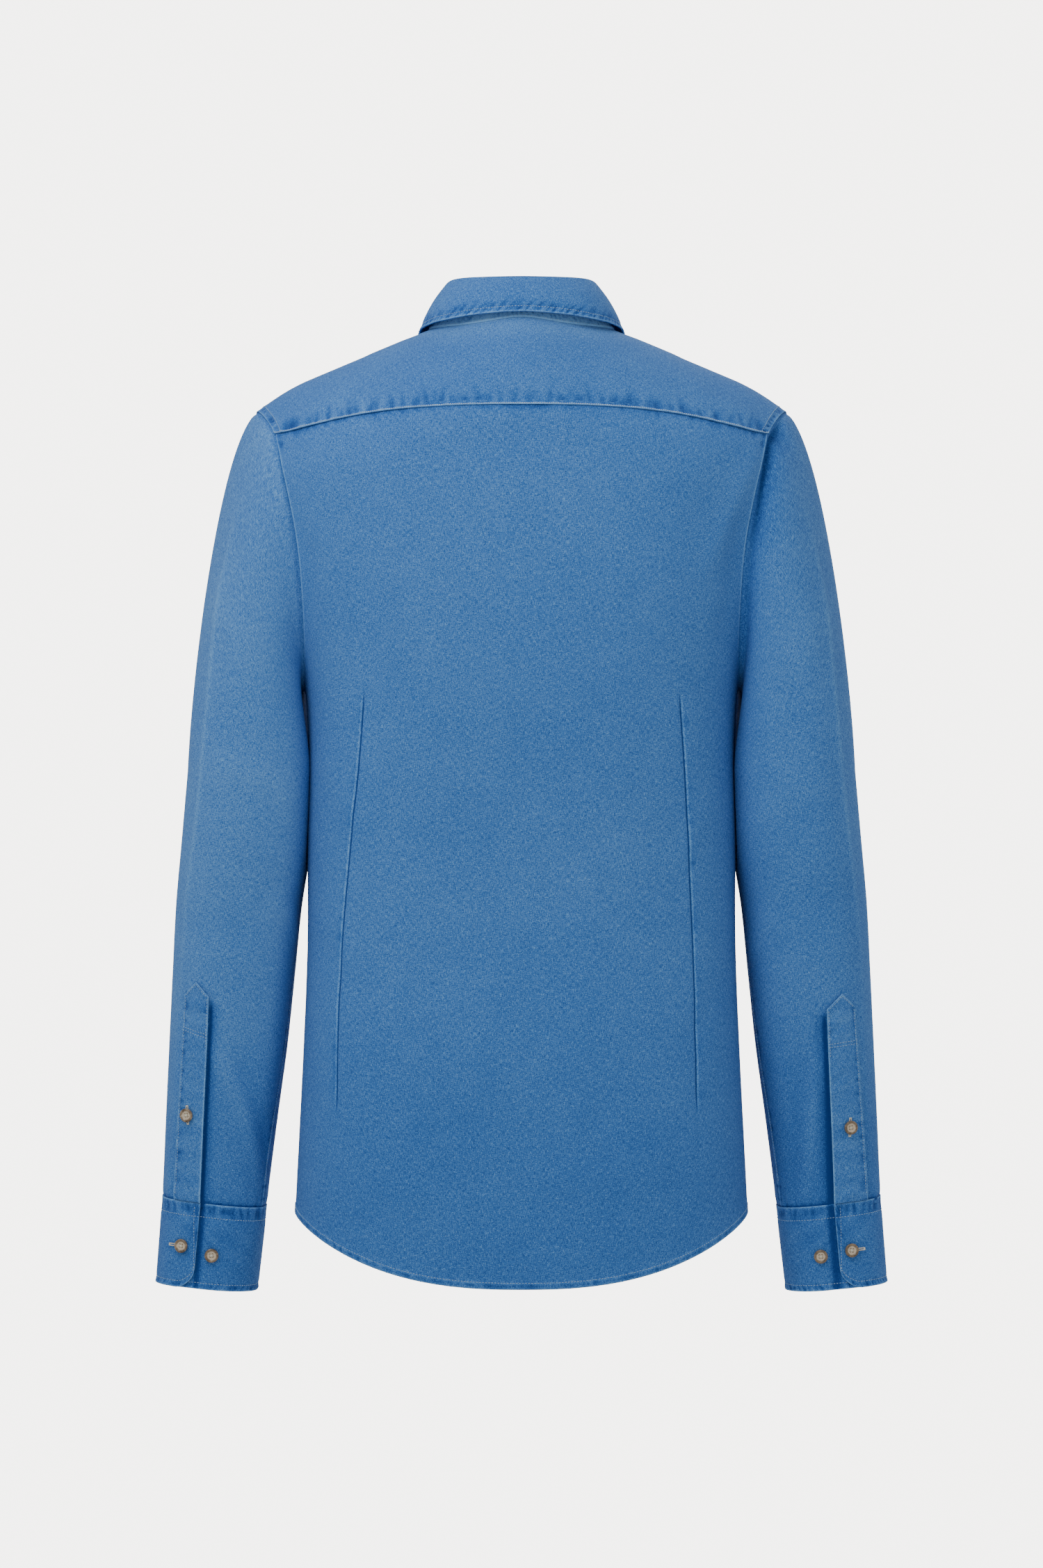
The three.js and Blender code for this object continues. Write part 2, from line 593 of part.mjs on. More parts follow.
// Pointed band over the sleeve's slit.
function sleevePlacket({ side, shoulderZ, top, foot }) {
  const rows = Array.from({ length: SLEEVE_PLACKET.rows + 1 }, (_, j) => {
    const down = j / SLEEVE_PLACKET.rows;
    return Array.from({ length: SLEEVE_PLACKET.columns + 1 }, (__, i) => {
      const across = i / SLEEVE_PLACKET.columns;
      const turn = mix(mix(top[0], top[1], across), mix(foot[0], foot[1], across), down);
      const peakZ = shoulderZ + SLEEVE_PLACKET.point * (1 - Math.abs(2 * across - 1));
      const z = mix(peakZ, CUFF_SEAM_Z + SEAM_GAP, down);
      const p = sleeveRing(z, turn).addScaledVector(sleeveNormal(z, turn), LAYER_GAP + 0.2 + CLOTH);
      return p.setX(p.x * side);
    });
  });
  return wall(rows, CLOTH, { flip: side < 0 });
}

// Collar stand: a band round the neck whose left end laps over the right one

function standTop(turn) {
  const angle = degrees(turn);
  const rise = Math.sin(angle);
  const past = Math.max(0, -90 - turn);
  let z = mix(STAND_TOP.zSide, STAND_TOP.zBack, Math.max(0, rise));
  if (rise > 0) z += STAND_TOP.swell * Math.sin(2 * angle) * (1 - rise);
  if (rise < 0) z = mix(z, STAND_TOP.zFront, Math.abs(rise) ** 1.5);
  if (past > 0) z = STAND_TOP.zFront - STAND_TOP.endFall * past;
  const depth = rise > 0 ? STAND_TOP.back : STAND_TOP.front;
  return point(STAND_TOP.halfWidth * Math.cos(angle), -depth * rise, z);
}

// Turns of the right half's columns: those of the front's neck edge, then those of the yoke's.
const frontTurns = FRONT_SHARES.filter((s) => s <= NECK_SHARE).reverse().map(frontNeckTurn);
const yokeTurns = halfShares.filter((s) => s < NECK_SHARE)
  .map((s) => mix(90, NECK.seamTurn, s / NECK_SHARE)).reverse();
const standTurns = [...frontTurns, ...yokeTurns, 90];
const STAND_ROWS = 2;

// The right side's front end is set back to run under the left one.
function setUnder(p, side, turn) {
  if (side > 0 && turn < 0) p.y -= (DOUBLE_CLOTH + LAYER_GAP) * underLap(p.x);
  return p;
}

function collarStand() {
  const half = (side) => standTurns.map((turn) => {
    const low = neckSeam(turn);
    const high = standTop(turn);
    const up = high.clone().sub(low).normalize();
    low.addScaledVector(up, SEAM_GAP + 0.2);
    const inward = point(-low.x, -low.y, 0).normalize();
    const outer = Array.from({ length: STAND_ROWS + 1 }, (_, j) => (
      setUnder(low.clone().lerp(high, j / STAND_ROWS), side, turn)
    ));
    const inner = outer.map((p) => p.clone().addScaledVector(inward, DOUBLE_CLOTH));
    [...outer, ...inner].forEach((p) => p.setX(p.x * side));
    return { outer, inner };
  });
  const columns = [...half(-1), ...half(1).reverse().slice(1)];
  const rowsOf = (skin) => Array.from({ length: STAND_ROWS + 1 }, (_, j) => columns.map((c) => c[skin][j]));
  return wall(rowsOf('outer'), DOUBLE_CLOTH, { flip: true, inner: rowsOf('inner') });
}

// Collar: rises from the stand, rolls over and falls to its outer edge, longest at the front points

const COLLAR_WALL = 1.6;
const collarTurns = standTurns.slice(1);

function collarEdge(share) {
  const read = (key) => column(COLLAR_EDGE, 'share', share, key);
  const [x, turn] = [read('x'), read('turn')];
  return shoulderPoint(x, turn).addScaledVector(shoulderNormal(x, turn), read('lift'));
}

function collarLeaf() {
  const half = (side) => collarTurns.map((turn) => {
    const angle = degrees(turn);
    const out = point(Math.cos(angle), -Math.sin(angle), 0);
    const seam = setUnder(standTop(turn), side, turn).addScaledVector(out, -DOUBLE_CLOTH / 2);
    const at = (outwards, up) => seam.clone().addScaledVector(out, outwards).setZ(seam.z + up);
    const fold = at(ROLL.out, ROLL.rise + 0.3);
    const edge = collarEdge((90 - turn) / (90 - collarTurns[0]));
    const swell = out.clone().multiplyScalar(2.5).setZ(1);
    const fall = [0.35, 0.7].map((t) => (
      fold.clone().lerp(edge, t).addScaledVector(swell, Math.sin(Math.PI * t))
    ));
    const profile = [
      at(-COLLAR_WALL / 2, SEAM_GAP + 0.15),
      at(-COLLAR_WALL / 2, ROLL.rise),
      at(1, ROLL.top),
      fold, ...fall, edge,
    ];
    profile.forEach((p) => p.setX(p.x * side));
    return profile;
  });
  const columns = [...half(-1), ...half(1).reverse().slice(1)];
  const rows = columns[0].map((_, j) => columns.map((c) => c[j]));
  return wall(rows, COLLAR_WALL);
}

// Buttons: a turned disc with a raised rim, facing along a normal

function buttonGeometry() {
  const { radius, thickness, rim } = BUTTON;
  const profile = [
    [0, 0], [radius - 1.2, 0], [radius, 0.9], [radius - 0.3, thickness],
    [radius - 1.5, thickness], [radius - 2.2, thickness - rim], [0, thickness - rim],
  ].map(([r, h]) => new THREE.Vector2(r, h));
  return new THREE.LatheGeometry(profile, BUTTON.sides);
}

function addButton(name, seat, normal) {
  const button = addPiece(name, buttonGeometry(), HORN);
  button.position.copy(seat).addScaledVector(normal, SEAM_GAP + 0.05);
  button.quaternion.setFromUnitVectors(point(0, 1, 0), normal);
}

// Assembly

const back = backPanel();
const yoke = yokePanel();
const frontRight = frontPanel(1);
const frontLeft = frontPanel(-1);
addPiece('back', back.geometry, DENIM);
addPiece('yoke', yoke.geometry, DENIM);
addPiece('front_left', frontLeft.geometry, DENIM);
addPiece('front_right', frontRight.geometry, DENIM);
addPiece('front_placket', frontPlacket(frontLeft).geometry, DENIM);
addPiece('collar_stand', collarStand().geometry, DENIM);
addPiece('collar', collarLeaf().geometry, DENIM);

const loop = armhole(back, yoke, frontRight);
SLEEVES.forEach((sleeve) => {
  const { name, side } = sleeve;
  addPiece(`sleeve_${name}`, sleevePanel(loop, side).geometry, DENIM);
  addPiece(`cuff_${name}`, cuffPanel(sleeve).geometry, DENIM);
  addPiece(`sleeve_placket_${name}`, sleevePlacket(sleeve).geometry, DENIM);
  const addSleeveButton = (label, { z, turn }, lift) => {
    const normal = sleeveNormal(z, turn);
    const seat = sleeveRing(z, turn).addScaledVector(normal, lift);
    addButton(label, seat.setX(seat.x * side), normal.setX(normal.x * side));
  };
  addSleeveButton(`button_sleeve_${name}`, sleeve.button, LAYER_GAP + 0.2 + CLOTH);
  addSleeveButton(`button_cuff_${name}`, sleeve.cuffButton, 0);
  addSleeveButton(`button_cuff_${name}_spare`, sleeve.spare, 0);
});

FRONT_BUTTONS.forEach((z, index) => {
  const seat = frontPoint(0, z);
  const normal = figureNormal(seat);
  addButton(`button_front_${index + 1}`, seat.addScaledVector(normal, SEAM_GAP + CLOTH), normal);
});

const [bandLow, bandHigh] = [neckSeam(-90), standTop(-90)];
const bandNormal = point(1, 0, 0).cross(bandHigh.clone().sub(bandLow)).normalize();
if (bandNormal.y < 0) bandNormal.negate();
addButton('button_collar', bandLow.lerp(bandHigh, 0.5).addScaledVector(bandNormal, 0.4), bandNormal);

export default shirt;
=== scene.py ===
"""Men's denim shirt, buttoned and filled out as it is when worn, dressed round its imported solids."""

import math

import bpy
import numpy as np
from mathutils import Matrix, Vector


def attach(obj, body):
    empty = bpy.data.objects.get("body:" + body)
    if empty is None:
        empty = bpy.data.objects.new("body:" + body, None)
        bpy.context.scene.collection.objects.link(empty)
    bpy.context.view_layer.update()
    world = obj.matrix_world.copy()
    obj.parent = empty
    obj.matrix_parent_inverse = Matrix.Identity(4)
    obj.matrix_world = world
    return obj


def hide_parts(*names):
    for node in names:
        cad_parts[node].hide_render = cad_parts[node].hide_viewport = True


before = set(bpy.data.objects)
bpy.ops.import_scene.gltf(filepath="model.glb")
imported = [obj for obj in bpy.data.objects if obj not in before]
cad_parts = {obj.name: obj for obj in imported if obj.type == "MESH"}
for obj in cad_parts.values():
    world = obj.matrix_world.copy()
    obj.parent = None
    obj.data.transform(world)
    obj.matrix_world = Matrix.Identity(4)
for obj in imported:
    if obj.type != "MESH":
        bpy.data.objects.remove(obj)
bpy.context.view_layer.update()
MM = 0.001

# Viewpoint, light and floor. The shirt is seen square from behind, level with its middle, in an
# even pale studio with broad soft light from the upper left and a wide pale floor far below.
CAMERA_AWAY, SHIRT_MIDDLE_Z = 3.383, -0.355
PAPER_WHITE, SURROUND_LIGHT, BACKDROP_LIGHT = (1, 0.98, 0.945, 1), 0.66, 5.4
FLOOR_GREY, FLOOR_HALF, FLOOR_Z = (0.84, 0.83, 0.81, 1), 2.8, -1.5
camera = bpy.data.objects.new("camera", bpy.data.cameras.new("camera"))
camera.data.lens = 100
camera.data.sensor_width = 36
camera.location = (0, -CAMERA_AWAY, SHIRT_MIDDLE_Z)
camera.rotation_euler = (math.radians(90), 0, 0)
bpy.context.collection.objects.link(camera)
bpy.context.scene.camera = camera

studio = bpy.data.worlds.new("studio")
studio.use_nodes = True
bpy.context.scene.world = studio
air = studio.node_tree.nodes["Background"]
air.inputs["Color"].default_value = PAPER_WHITE
seen = studio.node_tree.nodes.new("ShaderNodeLightPath")
strength = studio.node_tree.nodes.new("ShaderNodeMix")
strength.inputs["A"].default_value = SURROUND_LIGHT
strength.inputs["B"].default_value = BACKDROP_LIGHT
studio.node_tree.links.new(seen.outputs["Is Camera Ray"], strength.inputs["Factor"])
studio.node_tree.links.new(strength.outputs["Result"], air.inputs["Strength"])


def soft_light(name, place, aim, size, power):
    """Square area light at a place, aimed at a point."""
    lamp = bpy.data.lights.new(name, "AREA")
    lamp.size = size
    lamp.energy = power
    light = bpy.data.objects.new(name, lamp)
    light.location = place
    reach = Vector(aim) - Vector(place)
    light.rotation_euler = reach.to_track_quat("-Z", "Y").to_euler()
    bpy.context.collection.objects.link(light)


soft_light("key_light", (-0.62, -1.08, 0.88), (0, 0, 0.45), 0.8, 13.0)
soft_light("front_light", (0.5, 2.6, 1.2), (0, 0, -0.3), 1.6, 26)

floor_mesh = bpy.data.meshes.new("floor")
floor_corners = ((-1, -1), (1, -1), (1, 1), (-1, 1))
floor_mesh.from_pydata(
    [(x * FLOOR_HALF, y * FLOOR_HALF, FLOOR_Z) for x, y in floor_corners], [], [(0, 1, 2, 3)]
)
floor = bpy.data.objects.new("floor", floor_mesh)
bpy.context.collection.objects.link(floor)
floor_finish = bpy.data.materials.new("pale floor")
floor_finish.use_nodes = True
floor_shader = floor_finish.node_tree.nodes["Principled BSDF"]
floor_shader.inputs["Base Color"].default_value = FLOOR_GREY
floor_shader.inputs["Roughness"].default_value = 0.8
floor_mesh.materials.append(floor_finish)

# Back: one panel of washed mid-blue denim from the yoke seam to the curved hem, shaped by two long
# darts. Its top is tucked under the yoke, its hem is rolled narrow and stitched, and washing has
# left pale edges and small uneven puckers along every seam. All sizes are in millimetres.
RING_POWER = 2.5
SEAM_END_Z, SEAM_CENTRE_Z, UNDERARM_Z, SIDE_HEM_Z = -87, -69.5, -285, -685
BACK_TAIL, FRONT_TAIL = 49, 38
BACK_ARMHOLE_DEPTH, FRONT_ARMHOLE_DEPTH = 0.62, 0.7
BACK_ROUND, FRONT_ROUND = 100, 150
CLOTH, DART_SHARE = 0.9, 0.5
HEM_ROW, HEM_DEPTH = 5, 5.6


def mix(a, b, t):
    return a + (b - a) * t


def smooth(t):
    t = np.clip(t, 0, 1)
    return t * t * (3 - 2 * t)


def points(x, y, z):
    return np.stack(np.broadcast_arrays(x, y, z), -1).astype(float)


def unit(vectors):
    return vectors / np.maximum(np.linalg.norm(vectors, axis=-1, keepdims=True), 1e-9)


def bridge(start, leave, end, arrive, t):
    """Smooth way from start to end, with the speeds at which it leaves and arrives."""
    return (
        start * (2 * t**3 - 3 * t**2 + 1) + leave * (t**3 - 2 * t**2 + t)
        + end * (3 * t**2 - 2 * t**3) + arrive * (t**3 - t**2)
    )


def through(rows, key):
    """Smooth curve through the rows of a table: reads column key at a value of the first one."""
    table = np.array(sorted(rows), float)
    at, value = table[:, 0], table[:, key]
    near = np.arange(len(at))
    low, high = np.maximum(near - 1, 0), np.minimum(near + 1, len(at) - 1)
    slope = (value[high] - value[low]) / (at[high] - at[low])

    def read(place):
        i = np.clip(np.searchsorted(at, place, side="right") - 1, 0, len(at) - 2)
        span = at[i + 1] - at[i]
        t = np.clip((place - at[i]) / span, 0, 1)
        return bridge(value[i], slope[i] * span, value[i + 1], slope[i + 1] * span, t)

    return read


# Height, half width, and depths of the figure's back and front.
FIGURE = [
    (40, 232, 108, 62), (0, 230, 110, 64), (-60, 224, 111, 66), (-130, 205, 116, 92),
    (-200, 187, 118, 114), (-285, 167.5, 115, 124), (-400, 166, 106, 119), (-480, 166, 105, 115),
    (-560, 169, 111, 114), (-690, 175.5, 119, 117), (-745, 177.5, 121, 118),
]
half_width, back_depth, front_depth = (through(FIGURE, key) for key in (1, 2, 3))


def crest(x):
    """Height of the shoulder line."""
    out = np.hypot(x, 18)
    return 28 - 0.42 * out - 0.0046 * np.maximum(0, out - 165) ** 2


def ring_share(x, z):
    share = np.minimum(1, np.abs(x) / half_width(z))
    return (1 - share**RING_POWER) ** (1 / RING_POWER)


def round_share(drop, height):
    rest = 1 - np.clip(drop / height, 0, 1)
    return np.sqrt(1 - rest * rest)


def back_point(x, z):
    depth = back_depth(z) * ring_share(x, z) * round_share(crest(x) - z, BACK_ROUND)
    return points(x, -depth, z)


def ring_x(angle, z):
    return half_width(z) * np.maximum(0, np.cos(angle)) ** (2 / RING_POWER)


def panel_angle(share, edge_z, armhole_depth):
    """Angle round the ring, from the side seam, of a share between the middle and the edge."""
    rise = np.clip((edge_z - UNDERARM_Z) / (SEAM_END_Z - UNDERARM_Z), 0, 1)
    edge = np.arcsin((armhole_depth * np.sqrt(1 - (1 - rise) ** 3)) ** (RING_POWER / 2))
    return math.pi / 2 * (1 - share) + edge * share**1.6


def back_place(share, edge_z):
    down = (SEAM_END_Z - edge_z) / (SEAM_END_Z - SIDE_HEM_Z)
    centre_z = mix(SEAM_CENTRE_Z, SIDE_HEM_Z - BACK_TAIL, down)
    z = mix(edge_z, centre_z, np.cos(math.pi / 2 * share) ** mix(2, 1.85, np.maximum(0, down)))
    return np.sign(share) * ring_x(panel_angle(np.abs(share), edge_z, BACK_ARMHOLE_DEPTH), z), z


# Height, and distance of the left and right dart from the middle.
DARTS = [
    (-284, 119, 119.5), (-345, 124, 124), (-406, 130.5, 127),
    (-478, 137, 130.5), (-545, 140, 132.5), (-604, 140.5, 133),
]
left_dart, right_dart = through(DARTS, 1), through(DARTS, 2)
DART_TOP, DART_END = -284, -604


def dart_shift(share, edge_z):
    """How far a column near a dart moves, as a share, so that one of them runs along its fold."""
    reach = np.clip(1 - np.abs(np.abs(share) - DART_SHARE) / 0.2, 0, 1)
    z = back_place(DART_SHARE, edge_z)[1]
    x = np.where(share < 0, left_dart(z), right_dart(z))
    angle = np.arccos((x / half_width(z)) ** (RING_POWER / 2))
    in_span = smooth((DART_TOP + 90 - z) / 90) * smooth((z - DART_END + 60) / 60)
    return np.sign(share) * (1 - angle / (math.pi / 2) - DART_SHARE) * reach * in_span


def steps(stops, sizes):
    """Positions from the first stop to the last, with one step size for each span."""
    spans = [
        np.linspace(a, b, max(1, round(abs(b - a) / size)), endpoint=False)
        for a, b, size in zip(stops, stops[1:], sizes)
    ]
    return np.concatenate([*spans, [stops[-1]]])


def both_sides(half):
    return np.concatenate([-half[:0:-1], half])


def normals_of(grid, closed=False):
    """Outward normals of a grid whose rows run down and columns to the right, seen from outside."""
    wide = np.concatenate([grid[:, -2:-1], grid, grid[:, 1:2]], 1) if closed else grid
    normal = unit(np.cross(np.gradient(wide, axis=0), np.gradient(wide, axis=1)))
    return normal[:, 1:-1] if closed else normal


def walked(grid, axis):
    """Distance along the cloth from the grid's first row or column."""
    legs = np.linalg.norm(np.diff(grid, axis=axis), axis=-1)
    return np.insert(np.cumsum(legs, axis=axis), 0, 0, axis=axis)


def read_at(distance, far, places):
    """Places on a line at given distances, where far is the distance of each of its places."""
    return np.stack([np.interp(distance, far, places[:, k]) for k in range(3)], -1)


def from_edges(grid):
    """Distances from the top, bottom, left and right edge of a grid."""
    down, across = walked(grid, 0), walked(grid, 1)
    return down, down[-1:] - down, across, across[:, -1:] - across


def ripple(along, pitch, seed):
    """Uneven waves along a seam, from about -1 to 1."""
    draw = np.random.default_rng(seed)
    wave = 0
    for share, weight in ((0.7, 0.35), (0.9, 0.7), (1.0, 0.8), (1.25, 0.6), (1.9, 0.4), (4.3, 0.4)):
        wave = wave + weight * np.sin(2 * math.pi * along / (pitch * share) + draw.uniform(0, 6.3))
    return wave / 1.6


def ridge(distance, width):
    return np.exp(-((distance / width) ** 2))


def blots(along, away, pitch, seed, width, reach):
    """Uneven soft spots in a row beside a seam, each reaching some way from it."""
    draw = np.random.default_rng(seed)
    spots = np.zeros(np.broadcast(along, away).shape)
    at = along.min() - pitch
    while at < along.max() + pitch:
        at += pitch * draw.uniform(0.5, 1.6)
        wide, deep = width * draw.uniform(0.65, 1.4), reach * draw.uniform(0.5, 1.4)
        off = along - at - draw.uniform(-0.3, 0.3) * away
        spots += draw.uniform(0.35, 1) * np.exp(-((off / wide) ** 2) - (away / deep) ** 2)
    return spots


def blots_by_side(x, along, away, pitch, seed, width, reach):
    """Spots with one seed on the left half and with the next one on the right half."""
    return np.where(x < 0, *(blots(along, away, pitch, seed + k, width, reach) for k in (0, 1)))


def hem_roll(bottom):
    """Height of the narrow rolled hem above the cloth, with the puckers left out."""
    return 0.45 * smooth((HEM_DEPTH - bottom) / 1.4) + 0.2 * ridge(bottom - 3, 4)


def folds(across, down, table):
    """Soft ridges, or troughs if the height is negative, each on a line between two places.

    A row holds the line's start and end, then the fold's width and height.
    """
    total = 0
    for *places, width, height in table:
        a, b = np.array(places, float).reshape(2, 2)
        line = b - a
        length = np.linalg.norm(line)
        along = ((across - a[0]) * line[0] + (down - a[1]) * line[1]) / length**2
        off = ((across - a[0]) * line[1] - (down - a[1]) * line[0]) / length
        ends = smooth((along + 0.12) / 0.3) * smooth((1.12 - along) / 0.4)
        total = total + height * ends * ridge(off, width) * (1 + 0.35 * np.tanh(off / width))
    return total


class Wire:
    """A value in a material's nodes: arithmetic on wires adds Math nodes."""

    def __init__(self, finish, socket):
        self.finish = finish
        self.socket = socket

    def __add__(self, other):
        return self.finish.maths("ADD", self, other)

    __radd__ = __add__

    def __sub__(self, other):
        return self.finish.maths("SUBTRACT", self, other)

    def __rsub__(self, other):
        return self.finish.maths("SUBTRACT", other, self)

    def __mul__(self, other):
        return self.finish.maths("MULTIPLY", self, other)

    __rmul__ = __mul__


class Finish:
    """Material of one piece, built from nodes on its Principled shader."""

    def __init__(self, name, roughness, **fixed):
        self.material = bpy.data.materials.new(name)
        self.material.use_nodes = True
        self.tree = self.material.node_tree
        self.shader = self.tree.nodes["Principled BSDF"]
        self.shader.inputs["Roughness"].default_value = roughness
        for socket, value in fixed.items():
            self.shader.inputs[socket.replace("_", " ")].default_value = value

    def node(self, kind, settings, values, output=0):
        """Adds a node: settings first, then a value or wire for each named or numbered socket."""
        made = self.tree.nodes.new(kind)
        for name, value in settings.items():
            if name == "stops":
                ramp = made.color_ramp.elements
                while len(ramp) < len(value):
                    ramp.new(1)
                for element, (position, color) in zip(ramp, value):
                    element.position, element.color = position, color
            else:
                setattr(made, name, value)
        for socket, value in values.items():
            if isinstance(value, Wire):
                self.tree.links.new(value.socket, made.inputs[socket])
            else:
                made.inputs[socket].default_value = value
        return Wire(self, made.outputs[output])

    def maths(self, operation, first, second):
        return self.node("ShaderNodeMath", {"operation": operation}, {0: first, 1: second})

    def noise(self, place, scale, detail, roughness=0.6, **more):
        return self.node(
            "ShaderNodeTexNoise", {"noise_dimensions": "3D"},
            {"Vector": place, "Scale": scale, "Detail": detail, "Roughness": roughness, **more},
        )

    def blend(self, share, first, second):
        return self.node("ShaderNodeMix", {"data_type": "RGBA"}, {0: share, 6: first, 7: second}, 2)

    def paint(self, socket, wire):
        self.tree.links.new(wire.socket, self.shader.inputs[socket])


# Linear colours: rinsed-out cloth on rubbed edges, also used for painted light, the cloth at large,
# and the bottoms of folds, also used for painted shade.
PALE, DENIM, DARK = (0.232, 0.52, 0.90, 1), (0.042, 0.174, 0.540, 1), (0.007, 0.051, 0.240, 1)


def denim(part, seed, tone=0.0):
    """Washed denim: fine uneven yarns both ways, faint cloudy paleness, pale wear and dark puckers,
    and painted light and shade from the same per-point marks.
    """
    name = f"washed denim of the {part}"
    finish = Finish(name, 0.88, Sheen_Weight=0.03, Sheen_Roughness=0.5, Specular_IOR_Level=0.15)
    flat = finish.node("ShaderNodeUVMap", {"uv_map": "cloth"}, {})
    solid = finish.node("ShaderNodeTexCoord", {}, {}, "Object")

    def uneven(place, across, along, detail, shift):
        """Noise from about -0.5 to 0.5, with so many spots in a metre each way."""
        sized = finish.node(
            "ShaderNodeMapping", {"vector_type": "POINT"},
            {"Vector": place, "Location": (seed * 1.7 + shift, seed * 0.9, shift),
             "Scale": (across, along, max(across, along))},
        )
        return finish.noise(sized, 1.0, detail) - 0.5

    grain = uneven(solid, 2900, 2900, 1, 0)
    warp = uneven(flat, 2300, 2300 * 0.14, 1, 3)
    weft = uneven(flat, 2300 * 0.13, 2300, 1, 5)
    cloud = uneven(solid, 60, 60, 3, 7)
    broad_paleness = uneven(solid, 14, 14, 2, 9)
    worn = finish.node("ShaderNodeAttribute", {"attribute_name": "worn"}, {}, "Fac")
    fleck = 2.3 * grain + 1.1 * warp + 0.9 * weft
    pale = worn + 1.5 * fleck + 0.20 * cloud + 0.24 * broad_paleness + tone
    color = DENIM
    for share, other in ((pale, PALE), (0.0 - pale, DARK)):
        share = finish.maths("MINIMUM", finish.maths("MAXIMUM", share, 0.0), 1.0)
        color = finish.blend(share, color, other)
    finish.paint("Base Color", color)
    bump = finish.node("ShaderNodeBump", {}, {"Strength": 0.35, "Distance": 0.0004, "Height": fleck})
    finish.paint("Normal", bump)
    return finish.material


def show(name, co, faces, uv=None, worn=None, material=None):
    """Makes one smooth mesh piece from millimetres and lets it ride with the shirt.

    The map has one place for each corner of each face, or one for each point.
    """
    mesh = bpy.data.meshes.new(name)
    mesh.from_pydata((co * MM).tolist(), [], faces)
    mesh.polygons.foreach_set("use_smooth", np.ones(len(mesh.polygons), bool))
    if uv is not None:
        corner = np.zeros(len(mesh.loops), int)
        mesh.loops.foreach_get("vertex_index", corner)
        uv = uv if len(uv) == len(corner) else uv[corner]
        mesh.uv_layers.new(name="cloth").data.foreach_set("uv", (uv * MM).astype(np.float32).ravel())
    if worn is not None:
        mesh.attributes.new("worn", "FLOAT", "POINT").data.foreach_set("value", worn.astype(np.float32))
    mesh.materials.append(material)
    mesh.update()
    piece = bpy.data.objects.new(name, mesh)
    bpy.context.collection.objects.link(piece)
    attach(piece, "root")
    return piece


def quads_of(table):
    """Faces between the neighbours of a table of corner numbers."""
    return np.stack([table[:-1, :-1], table[1:, :-1], table[1:, 1:], table[:-1, 1:]], -1).reshape(-1, 4)


def cloth(name, grid, height, worn, material, thickness=CLOTH, closed=False, mirror=False):
    """Closed thin wall: a grid raised by height along its normals, and an inner skin below it.

    A closed grid's last column repeats its first one. Gives the piece, and its skin and normals.
    """
    normal = normals_of(grid, closed)
    outer = grid + normal * height[..., None]
    inner = outer - normal * thickness
    tall, wide = grid.shape[:2]
    around = wide - 1 if closed else wide
    index = np.arange(tall * around).reshape(tall, around)
    column = np.arange(wide) % around if closed else np.arange(wide)
    skin = index[:, column]
    corners = np.arange(tall * wide).reshape(tall, wide)

    def rim(table, low):
        return np.stack([table[:-1], table[1:], low[1:], low[:-1]], -1)

    count = tall * around
    faces = [quads_of(skin), quads_of(skin + count)[:, ::-1]]
    maps = [quads_of(corners), quads_of(corners)[:, ::-1]]
    edges = [(skin[0], corners[0], 1), (skin[-1], corners[-1], -1)]
    if not closed:
        edges += [(skin[:, 0], corners[:, 0], -1), (skin[:, -1], corners[:, -1], 1)]
    for line, ends, turn in edges:
        faces.append(rim(line, line + count)[:, ::turn])
        maps.append(rim(ends, ends)[:, ::turn])
    faces, maps = np.concatenate(faces), np.concatenate(maps)
    across = np.broadcast_to(walked(outer, 1).mean(0), (tall, wide)).ravel()
    down = np.broadcast_to(walked(outer, 0).mean(1)[:, None], (tall, wide)).ravel()
    keep = (slice(None), slice(0, around))
    co = np.concatenate([outer[keep].reshape(-1, 3), inner[keep].reshape(-1, 3)])
    if mirror:
        co, faces, maps = co * (-1, 1, 1), faces[:, ::-1], maps[:, ::-1]
    uv = np.stack([across, -down], -1)[maps.ravel()]
    wear_and_painted_light_marks = np.broadcast_to(worn, (tall, wide))[keep].ravel()
    piece = show(name, co, faces.tolist(), uv, np.concatenate([wear_and_painted_light_marks, wear_and_painted_light_marks * 0.3]), material)
    return piece, (outer, normal)


THREAD_PITCH, THREAD_LENGTH, THREAD_RADIUS = 2.3, 1.7, 0.29
# Share of a thread's length, and its radius and rise above the cloth there, as shares of the radius.
THREAD_RINGS = [(0, 0.3, -0.4), (0.2, 0.9, 0.3), (0.5, 1, 0.55), (0.8, 0.9, 0.3), (1, 0.3, -0.4)]


def thread(name, seed, dull=(0.16, 0.34, 0.58, 1), bright=(0.44, 0.62, 0.82, 1)):
    """Cotton sewing thread, uneven in tone from stitch to stitch."""
    finish = Finish(name, 0.75, Specular_IOR_Level=0.3)
    place = finish.node("ShaderNodeTexCoord", {}, {}, "Object")
    patch = finish.noise(place, 260.0 + seed, 1.0, 0.5)
    finish.paint("Base Color", finish.blend(patch, dull, bright))
    return finish.material


def threads(start, end, up, radius):
    """Corners and faces of short threads that lie half sunk in the cloth between given places."""
    side = np.cross(up, unit(end - start))
    rings = []
    for share, size, rise in THREAD_RINGS:
        middle = mix(start, end, share) + up * radius * rise
        for turn in (0, 90, 180, 270):
            out = side * math.cos(math.radians(turn)) + up * math.sin(math.radians(turn)) * 0.8
            rings.append(middle + out * radius * size)
    quads = [
        (4 * ring + k, 4 * ring + (k + 1) % 4, 4 * ring + 4 + (k + 1) % 4, 4 * ring + 4 + k)
        for ring in range(4) for k in range(4)
    ]
    quads += [(3, 2, 1, 0), (16, 17, 18, 19)]
    faces = (np.array(quads)[None] + 20 * np.arange(len(start))[:, None, None]).reshape(-1, 4)
    return np.stack(rings, 1).reshape(-1, 3), faces


